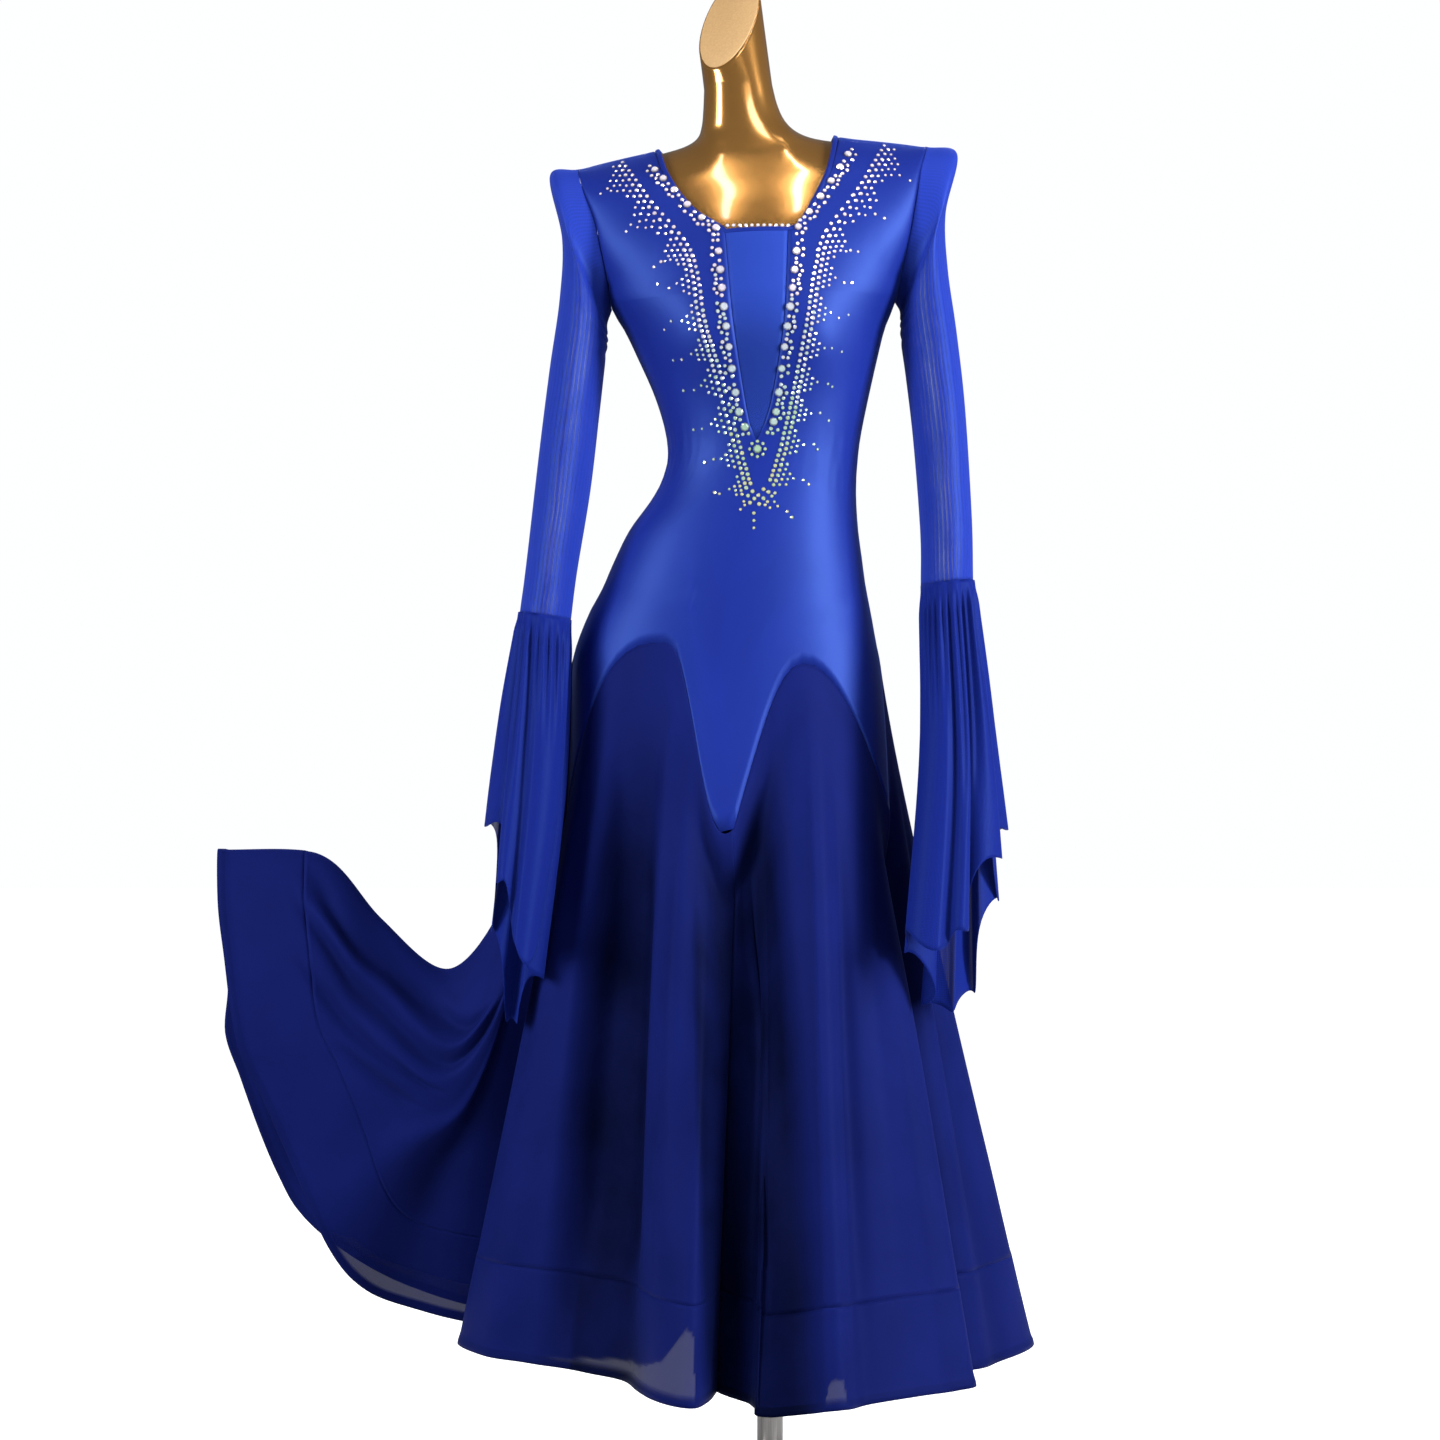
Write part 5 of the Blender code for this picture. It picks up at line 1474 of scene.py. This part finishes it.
# a row below the neck, and a ringed stone with three drops at the tip: x, z, then diameter, tone, lift
neckRow = {"x": (-0.0470, 0.0180), "z": 1.4083, "count": 11, "stone": (0.0046, 0.1, 0.0006)}
tipShape = {
    "middle": (-0.0150, 1.1700),
    "wide": 1.06,
    "stone": (0.8, 0.0003),
    "ring": 8,
    "ringReach": 0.0082,
    "ringStone": (0.0041, 0.85, 0.0),
    "drops": (
        (-0.0190, 1.1010, 0.0042, 0.95, 0.0), (-0.0190, 1.0930, 0.0039, 0.9, 0.0),
        (-0.0190, 1.0850, 0.0036, 0.95, 0.0),
    ),
}


def neckSpots():
    return [(x, neckRow["z"], *neckRow["stone"]) for x in np.linspace(*neckRow["x"], neckRow["count"])]


def tipSpots():
    middle = np.array(tipShape["middle"])
    made = [(*middle, stoneShape["bigStone"] * tipShape["wide"], *tipShape["stone"])]
    for turn in 2 * np.pi * np.arange(tipShape["ring"]) / tipShape["ring"]:
        out = tipShape["ringReach"] * np.array([math.cos(turn), math.sin(turn)])
        made.append((*(middle + out), *tipShape["ringStone"]))
    return made + list(tipShape["drops"])


# the net is kept clear of small stones, between its tip and its upper edge; stones may overlap by a little
clearShape = {"x": -0.0168, "foot": 1.1700, "top": 1.41, "slope": 0.28, "small": 0.006, "nearest": 0.47}


def onNet(x, z, wide):
    reach = 0.5 * (z - clearShape["foot"]) * clearShape["slope"]
    return abs(x - clearShape["x"]) < reach and z < clearShape["top"] and wide < clearShape["small"]


def settled(spots):
    # stones that would sit on each other or on the net are left out, the larger ones first
    kept = []
    near = clearShape["nearest"]
    for spot in sorted(spots, key=lambda s: -s[2]):
        if onNet(*spot[:3]):
            continue
        if all(math.hypot(spot[0] - o[0], spot[1] - o[1]) > near * (spot[2] + o[2]) for o in kept):
            kept.append(spot)
    return kept


# finishes
def makeGroup(name, numbers, results):
    # a node group that takes a Vector and some numbers, with its given and its resulting sockets
    group = bpy.data.node_groups.new(name, "ShaderNodeTree")
    group.interface.new_socket("Vector", in_out="INPUT", socket_type="NodeSocketVector")
    for label, value in numbers.items():
        socket = group.interface.new_socket(label, in_out="INPUT", socket_type="NodeSocketFloat")
        socket.default_value = value
    for label in results:
        group.interface.new_socket(label, in_out="OUTPUT", socket_type="NodeSocketFloat")
    return group, group.nodes.new("NodeGroupInput").outputs, group.nodes.new("NodeGroupOutput").inputs


def mathNode(tree, operation, a, b=None, clamp=False):
    node = tree.nodes.new("ShaderNodeMath")
    node.operation = operation
    node.use_clamp = clamp
    for socket, value in zip(node.inputs, (a, b)):
        if value is None:
            continue
        if isinstance(value, (int, float)):
            socket.default_value = value
        else:
            tree.links.new(value, socket)
    return node.outputs[0]


def plus(tree, a, b, clamp=False):
    return mathNode(tree, "ADD", a, b, clamp)


def minus(tree, a, b):
    return mathNode(tree, "SUBTRACT", a, b)


def times(tree, a, b):
    return mathNode(tree, "MULTIPLY", a, b)


def coordinates(tree, kind):
    return tree.nodes.new("ShaderNodeTexCoord").outputs[kind]


def parted(tree, vector):
    node = tree.nodes.new("ShaderNodeSeparateXYZ")
    tree.links.new(vector, node.inputs[0])
    return node.outputs


def attribute(tree, label):
    node = tree.nodes.new("ShaderNodeAttribute")
    node.attribute_name = label
    return node.outputs["Fac"]


def noise(tree, vector, scale, detail=2.0):
    node = tree.nodes.new("ShaderNodeTexNoise")
    node.inputs["Scale"].default_value = scale
    node.inputs["Detail"].default_value = detail
    tree.links.new(vector, node.inputs["Vector"])
    return node.outputs[0]


def makeNetGroup():
    # a diamond net: Thread is 1 on a thread and 0 in a hole
    group, given, result = makeGroup("netThreads", {"Pitch": 0.0016, "Cover": 0.5}, ("Thread", "Height"))
    rowShare, sharpness = 0.8, 4.0
    x, y, _ = parted(group, given["Vector"])
    column = mathNode(group, "DIVIDE", x, given["Pitch"])
    row = mathNode(group, "DIVIDE", y, times(group, given["Pitch"], rowShare))
    row = plus(group, row, times(group, mathNode(group, "FLOOR", column), 0.5))
    waves = [mathNode(group, "SINE", times(group, line, math.pi)) for line in (column, row)]
    hole = times(group, *(mathNode(group, "ABSOLUTE", wave) for wave in waves))
    thread = times(group, minus(group, given["Cover"], hole), sharpness)
    thread = plus(group, thread, 0.5, clamp=True)
    for label in ("Thread", "Height"):
        group.links.new(thread, result[label])
    return group


def makeWeaveGroup():
    # a fine even weave with a slight slub and broad unevenness
    group, given, result = makeGroup("fineWeave", {"Threads": 1200.0, "Slub": 0.5}, ("Height", "Tone"))
    x, y, _ = parted(group, given["Vector"])
    weave = times(group, *(mathNode(group, "SINE", times(group, line, given["Threads"])) for line in (x, y)))
    height = times(group, plus(group, weave, 1.0), 0.5)
    slub = noise(group, given["Vector"], 260.0, 3.0)
    group.links.new(plus(group, height, times(group, slub, given["Slub"])), result["Height"])
    group.links.new(noise(group, given["Vector"], 9.0, 4.0), result["Tone"])
    return group


def plainFinish(name, constants):
    made = bpy.data.materials.new(name)
    made.use_nodes = True
    shader = made.node_tree.nodes["Principled BSDF"]
    for label, value in constants.items():
        shader.inputs[label].default_value = (*value, 1.0) if isinstance(value, tuple) else value
    return made, made.node_tree, shader


def place(tree, group, vector, **values):
    node = tree.nodes.new("ShaderNodeGroup")
    node.node_tree = group
    for label, value in values.items():
        node.inputs[label].default_value = value
    tree.links.new(vector, node.inputs["Vector"])
    return node.outputs


def ramp(tree, source, stops):
    node = tree.nodes.new("ShaderNodeValToRGB")
    while len(node.color_ramp.elements) < len(stops):
        node.color_ramp.elements.new(0.5)
    for element, (at, colour) in zip(node.color_ramp.elements, stops):
        element.position = at
        element.color = (*colour, 1.0)
    tree.links.new(source, node.inputs[0])
    return node.outputs[0]


def colourInto(tree, shader, source, stops):
    tree.links.new(ramp(tree, source, stops), shader.inputs["Base Color"])


def bumpInto(tree, shader, height, strength, distance):
    node = tree.nodes.new("ShaderNodeBump")
    node.inputs["Strength"].default_value = strength
    node.inputs["Distance"].default_value = distance
    tree.links.new(height, node.inputs["Height"])
    tree.links.new(node.outputs["Normal"], shader.inputs["Normal"])


satinLook = {
    "threads": 5200.0,
    "slub": 0.4,
    "stops": ((0.3, (0.0032, 0.0080, 0.104)), (0.7, (0.0039, 0.0097, 0.123))),
    "bump": (0.12, 0.0003),
    "constants": {
        "Roughness": 0.50,
        "Sheen Weight": 0.10,
        "Sheen Roughness": 0.4,
        "Sheen Tint": (0.10, 0.25, 1.0),
        "Specular IOR Level": 0.52,
        "Specular Tint": (0.12, 0.28, 1.0),
    },
}


def satinFinish():
    made, tree, shader = plainFinish("royalBlueSatinKnit", satinLook["constants"])
    flat = coordinates(tree, "UV")
    weave = place(tree, weaveGroup, flat, Threads=satinLook["threads"], Slub=satinLook["slub"])
    colourInto(tree, shader, weave["Tone"], satinLook["stops"])
    bumpInto(tree, shader, weave["Height"], *satinLook["bump"])
    return made


chiffonLook = {
    "threads": 4200.0,
    "slub": 0.8,
    # the darkest stop is reached only with the painted shade
    "stops": (
        (0.0, (0.0006, 0.0011, 0.008)), (0.38, (0.0027, 0.0050, 0.046)), (0.68, (0.0040, 0.0073, 0.071)),
    ),
    # the even tone, how much the weave varies it, how much the painted shade of the folds darkens it, and how
    # much the turned hem darkens it
    "tone": 0.34,
    "weaveShare": 0.4,
    "paintedShadeShare": 0.46,
    "hemShare": 0.12,
    "hemDepth": 0.0095,
    "sheerShare": 0.17,
    "bump": (0.15, 0.0003),
    "constants": {
        "Roughness": 0.55,
        "Sheen Weight": 0.03,
        "Sheen Roughness": 0.5,
        "Sheen Tint": (0.10, 0.2, 1.0),
        "Specular IOR Level": 0.05,
        "Specular Tint": (0.08, 0.16, 1.0),
    },
}


def chiffonFinish():
    look = chiffonLook
    made, tree, shader = plainFinish("royalBlueChiffon", look["constants"])
    weave = place(tree, weaveGroup, coordinates(tree, "UV"), Threads=look["threads"], Slub=look["slub"])
    tone = plus(tree, times(tree, weave["Tone"], look["weaveShare"]), look["tone"])
    # painted shade in the folds
    tone = minus(tree, tone, times(tree, attribute(tree, "paintedShade"), look["paintedShadeShare"]))
    turned = mathNode(tree, "LESS_THAN", attribute(tree, "fromHem"), look["hemDepth"])
    tone = minus(tree, tone, times(tree, turned, look["hemShare"]))
    colourInto(tree, shader, tone, look["stops"])
    share = minus(tree, 1.0, times(tree, attribute(tree, "sheer"), look["sheerShare"]))
    tree.links.new(share, shader.inputs["Alpha"])
    bumpInto(tree, shader, weave["Height"], *look["bump"])
    return made


# what the three nets share; shares are those of what covers the view
netCommon = {
    "cover": 0.55,
    "lines": 820.0,
    "waverScale": 7.0,
    "waverReach": 14.0,
    "headShare": 0.9,
    "sheerShare": 0.35,
    "edgeBlend": 0.35,
    "edgeShare": 0.6,
    "bump": (0.2, 0.0002),
    "constants": {
        "Roughness": 0.5,
        "Sheen Weight": 0.06,
        "Sheen Tint": (0.1, 0.25, 1.0),
        "Specular Tint": (0.12, 0.3, 1.0),
        # colour of the painted glow
        "Emission Color": (0.04, 0.10, 1.0),
    },
}
# the first stop of each is the colour of the painted shade; through is the strength of a painted glow that
# stands in for the light that comes through the thin cloth
netLooks = {
    "sleeveNet": {
        "stops": ((0.0, (0.004, 0.010, 0.09)), (0.5, (0.008, 0.018, 0.16)), (1.0, (0.010, 0.023, 0.22))),
        "thread": 0.76, "hole": 0.32, "pitch": 0.0023, "waver": 0.16, "gloss": 0.24, "through": 0.0,
    },
    "flounceNet": {
        "stops": (
            (0.0, (0.0007, 0.0016, 0.016)), (0.5, (0.0026, 0.0060, 0.070)), (1.0, (0.0038, 0.0088, 0.105)),
        ),
        "thread": 0.95, "hole": 0.76, "pitch": 0.0021, "waver": 0.03, "gloss": 0.08, "through": 0.026,
    },
    "insertNet": {
        "stops": ((0.0, (0.0016, 0.0040, 0.036)), (0.5, (0.011, 0.028, 0.20)), (1.0, (0.013, 0.032, 0.23))),
        "thread": 0.86, "hole": 0.80, "pitch": 0.0012, "waver": 0.0, "gloss": 0.20, "through": 0.0,
    },
}


def netFinish(name):
    look = netCommon | netLooks[name]
    made, tree, shader = plainFinish(name, look["constants"] | {
        "Specular IOR Level": look["gloss"], "Emission Strength": look["through"],
    })
    flat = coordinates(tree, "UV")
    net = place(tree, netGroup, flat, Pitch=look["pitch"], Cover=look["cover"])
    tone = plus(tree, times(tree, net["Thread"], 0.5), 0.5)
    # painted shade in the valleys, the pleats and part way down the insert
    tone = minus(tree, tone, times(tree, attribute(tree, "paintedShade"), 0.5))
    colourInto(tree, shader, tone, look["stops"])
    share = plus(tree, times(tree, net["Thread"], look["thread"] - look["hole"]), look["hole"])
    # crossing threads of both walls close and open in long wavering lines
    turn = times(tree, parted(tree, flat)[0], look["lines"])
    turn = plus(tree, turn, times(tree, noise(tree, flat, look["waverScale"]), look["waverReach"]))
    share = plus(tree, share, times(tree, mathNode(tree, "SINE", turn), look["waver"]))
    share = plus(tree, share, times(tree, attribute(tree, "head"), look["headShare"]))
    share = minus(tree, share, times(tree, attribute(tree, "sheer"), look["sheerShare"]))
    # seen edge on, the threads close up
    lean = tree.nodes.new("ShaderNodeLayerWeight")
    lean.inputs["Blend"].default_value = look["edgeBlend"]
    closed = times(tree, lean.outputs["Facing"], look["edgeShare"])
    tree.links.new(plus(tree, share, closed, clamp=True), shader.inputs["Alpha"])
    bumpInto(tree, shader, net["Height"], *look["bump"])
    return made


# scale and detail of the noise for the colour and of that for the bump
grainedLooks = {
    "goldLacquer": {
        "colourNoise": (7.0, 5.0),
        "stops": ((0.3, (0.30, 0.140, 0.030)), (0.7, (0.40, 0.195, 0.048))),
        "bumpNoise": (900.0, 2.0),
        "bump": (0.03, 0.0002),
        "constants": {"Roughness": 0.18, "Metallic": 0.80, "Coat Weight": 0.8, "Coat Roughness": 0.06},
    },
    "tanCap": {
        "colourNoise": (420.0, 4.0),
        "stops": ((0.3, (0.33, 0.20, 0.085)), (0.7, (0.40, 0.25, 0.11))),
        "bumpNoise": (420.0, 4.0),
        "bump": (0.1, 0.0003),
        "constants": {"Roughness": 0.55},
    },
    "brushedSteel": {
        "stretch": (900.0, 900.0, 20.0),
        "colourNoise": (1.0, 3.0),
        "stops": ((0.3, (0.27, 0.26, 0.25)), (0.7, (0.36, 0.35, 0.34))),
        "bumpNoise": (1.0, 3.0),
        "bump": (0.05, 0.0002),
        "constants": {"Roughness": 0.28, "Metallic": 1.0},
    },
}


def grainedFinish(name):
    look = grainedLooks[name]
    made, tree, shader = plainFinish(name, look["constants"])
    where = coordinates(tree, "Object")
    if "stretch" in look:
        stretch = tree.nodes.new("ShaderNodeMapping")
        stretch.inputs["Scale"].default_value = look["stretch"]
        tree.links.new(where, stretch.inputs["Vector"])
        where = stretch.outputs[0]
    colourInto(tree, shader, noise(tree, where, *look["colourNoise"]), look["stops"])
    bumpInto(tree, shader, noise(tree, where, *look["bumpNoise"]), *look["bump"])
    return made


stoneLook = {
    "stops": (
        (0.0, (0.72, 0.66, 0.70)), (0.30, (0.60, 0.52, 0.62)), (0.55, (0.40, 0.50, 0.54)),
        (0.80, (0.30, 0.46, 0.32)), (1.0, (0.46, 0.46, 0.26)),
    ),
    # colour of the painted shade on the girdle
    "rim": (0.045, 0.040, 0.075, 1.0),
    "rimShare": 0.9,
    "constants": {"Roughness": 0.12, "Metallic": 0.45, "Coat Weight": 1.0, "Coat Roughness": 0.03},
}


def stoneFinish():
    made, tree, shader = plainFinish("cutStones", stoneLook["constants"])
    # painted shade: the girdle and the foot of the crown are darkened towards the rim colour
    shade = tree.nodes.new("ShaderNodeMix")
    shade.data_type = "RGBA"
    share, bright, dark = shade.inputs[0], shade.inputs[6], shade.inputs[7]
    tree.links.new(times(tree, attribute(tree, "rim"), stoneLook["rimShare"]), share)
    tree.links.new(ramp(tree, attribute(tree, "tone"), stoneLook["stops"]), bright)
    dark.default_value = stoneLook["rim"]
    tree.links.new(shade.outputs[2], shader.inputs["Base Color"])
    return made


netGroup = makeNetGroup()
weaveGroup = makeWeaveGroup()
satin = satinFinish()
chiffon = chiffonFinish()
sleeveNet = netFinish("sleeveNet")
flounceNet = netFinish("flounceNet")
insertNet = netFinish("insertNet")
gold = grainedFinish("goldLacquer")
tan = grainedFinish("tanCap")
steel = grainedFinish("brushedSteel")
stones = stoneFinish()

frontBody = dress(bodyPanel("frontBody", -1), satin, "body_fabric", "front_body")
backBody = dress(bodyPanel("backBody", 1), satin, "body_fabric", "back_body")
neckInsert = dress(insertPanel(), insertNet, "insert_mesh", "neck_insert")
binding = ribbonRound("neckBinding", neckLoop(), bindingShape)
neckBinding = dress(binding, satin, "body_fabric", "neck_binding")
print("body of the dress")

# node name, number, and the columns and rows of the gore and the rows of its band
goreSizes = {
    "frontLeft": ("front_left", 0, 140, 120, 22),
    "frontRight": ("front_right", 1, 140, 120, 22),
    "sideRight": ("side_right", 2, 84, 110, 20),
    "backRight": ("back_right", 3, 110, 110, 20),
    "backLeft": ("back_left", 4, 110, 110, 20),
    "sideLeft": ("side_left", 5, 200, 140, 24),
}
gores = {}
for title, (node, gore, columns, rows, bandRows) in goreSizes.items():
    upper, band = gorePieces(title + "Gore", gore, columns, rows, bandRows)
    dress(upper, chiffon, "skirt_chiffon", node + "_gore")
    dress(band, chiffon, "skirt_chiffon", node + "_hem_band")
    gores[title] = (upper, band)
print("skirt")

sleeves, flounces = {}, {}
for side in ("left", "right"):
    sleeve, flounce = sleevePiece(side + "Sleeve", side), flouncePiece(side + "Flounce", side)
    sleeves[side] = dress(sleeve, sleeveNet, "sleeve_mesh", side + "_sleeve")
    flounces[side] = dress(flounce, flounceNet, "sleeve_mesh", side + "_flounce")
print("sleeves and flounces")

goldForm = dress(formPiece(), gold, "form_gold", "dress_form")
dress(neckCap(), tan, "form_gold")
for name, node in (("baseDisc", "stand_base"), ("baseHub", "base_hub"), ("standPole", "pole")):
    dress(turnedPiece(name), steel, "stand_steel", node)
flange = joined("formFlange", [turnedPiece("flangeHub"), turnedPiece("flangeDisc")])
dress(flange, steel, "stand_steel", "form_flange")
print("form and stand")

pattern = stoneMesh()
spots = []
for side in (-1, 1):
    spots += clusterSpots(stoneShape["innerLine"][side], side)
    spots += bandSpots(stoneShape["outerLine"][side], side)
crystals = stonesOn("crystals", settled(tipSpots() + spots) + neckSpots(), pattern)
dress(crystals, stones, "body_fabric")
print("stones", len(spots))

# floor, light and camera
paperLook = {"Roughness": 0.9, "Base Color": (0.42, 0.42, 0.43), "Emission Color": (1.0, 1.0, 1.0)}
glow = {"paper": 0.97, "world": 0.90, "worldLight": 0.12}
floorShape = {"size": 24.0, "height": -0.0005}


def cameraGlow(tree, strength):
    # this strength where it is seen directly, none as light
    path = tree.nodes.new("ShaderNodeLightPath")
    return times(tree, path.outputs["Is Camera Ray"], strength)


bpy.ops.mesh.primitive_plane_add(size=floorShape["size"], location=(0.0, 0.0, floorShape["height"]))
floor = called(bpy.context.active_object, "studioFloor")
paper, paperTree, paperShader = plainFinish("studioPaper", paperLook)
paperTree.links.new(cameraGlow(paperTree, glow["paper"]), paperShader.inputs["Emission Strength"])
floor.data.materials.append(paper)
floor.select_set(False)

# white seen directly, and only a faint light on the dress
world = bpy.data.worlds.new("studioLight")
bpy.context.scene.world = world
world.use_nodes = True
worldTree = world.node_tree
worldShader = worldTree.nodes["Background"]
worldShader.inputs["Color"].default_value = (0.97, 0.98, 1.0, 1.0)
worldStrength = plus(worldTree, cameraGlow(worldTree, glow["world"]), glow["worldLight"])
worldTree.links.new(worldStrength, worldShader.inputs["Strength"])


# place, target, size, power, and whether it shows in glossy reflections
softBoxes = {
    "rightBox": ((2.1, -1.15, 1.70), (0.05, 0.0, 1.10), (0.6, 1.5), 76.0, True),
    "leftBox": ((-2.1, -1.30, 1.70), (-0.05, 0.0, 1.10), (0.6, 1.5), 42.0, True),
    "frontBox": ((0.7, -2.2, 3.0), (0.0, 0.0, 1.50), (0.7, 0.7), 6.0, True),
    "lowRight": ((1.5, -1.9, 0.95), (0.05, 0.0, 0.95), (0.5, 0.9), 7.5, True),
    "lowLeft": ((-1.7, -1.7, 0.95), (-0.08, 0.0, 0.95), (0.5, 0.9), 9.0, True),
    "backRight": ((0.8, 2.0, 3.1), (0.0, 0.0, 0.95), (0.9, 0.9), 38.0, False),
    "backLeft": ((-1.0, 2.0, 3.1), (0.0, 0.0, 0.95), (0.9, 0.9), 33.0, False),
    "leftStreak": ((-0.24, -0.85, 3.3), (-0.02, 0.0, 1.45), (0.07, 1.0), 1.7, True),
    "rightStreak": ((0.20, -0.85, 3.3), (-0.02, 0.0, 1.45), (0.07, 1.0), 2.3, True),
}


def softBox(name, spot, target, size, power, gloss):
    lamp = bpy.data.lights.new(name, "AREA")
    lamp.shape = "RECTANGLE"
    lamp.size, lamp.size_y = size
    lamp.energy = power
    lamp.spread = math.radians(120)
    thing = bpy.data.objects.new(name, lamp)
    thing.visible_glossy = gloss
    bpy.context.scene.collection.objects.link(thing)
    thing.location = spot
    thing.rotation_euler = (Vector(target) - Vector(spot)).to_track_quat("-Z", "Y").to_euler()


for name, values in softBoxes.items():
    softBox(name, *values)

# the view is this many metres wide at the dress
cameraShape = {"sensor": 36.0, "view": 1.584, "distance": 3.2, "x": -0.055, "z": 0.88}
lens = bpy.data.cameras.new("studioCamera")
lens.lens = cameraShape["sensor"] / cameraShape["view"] * cameraShape["distance"]
lens.sensor_width = cameraShape["sensor"]
camera = bpy.data.objects.new("studioCamera", lens)
bpy.context.scene.collection.objects.link(camera)
camera.location = (cameraShape["x"], -cameraShape["distance"], cameraShape["z"])
camera.rotation_euler = (math.pi / 2, 0.0, 0.0)
bpy.context.scene.camera = camera
bpy.context.scene.view_settings.view_transform = "Standard"

# how each piece of cloth was cut: flat width and length, flat area, how it hangs and on what
goreCuts = {
    "frontLeft": (0.57, 0.66, 0.215, 0.57, 0.10), "frontRight": (0.44, 0.66, 0.187, 0.44, 0.10),
    "sideRight": (0.40, 0.64, 0.143, 0.40, 0.10), "backRight": (0.45, 0.66, 0.174, 0.45, 0.10),
    "backLeft": (0.44, 0.66, 0.169, 0.44, 0.10), "sideLeft": (1.10, 0.55, 0.232, 1.29, 0.10),
}
for title, (wide, long, area, bandWide, bandLong) in goreCuts.items():
    upper, band = gores[title]
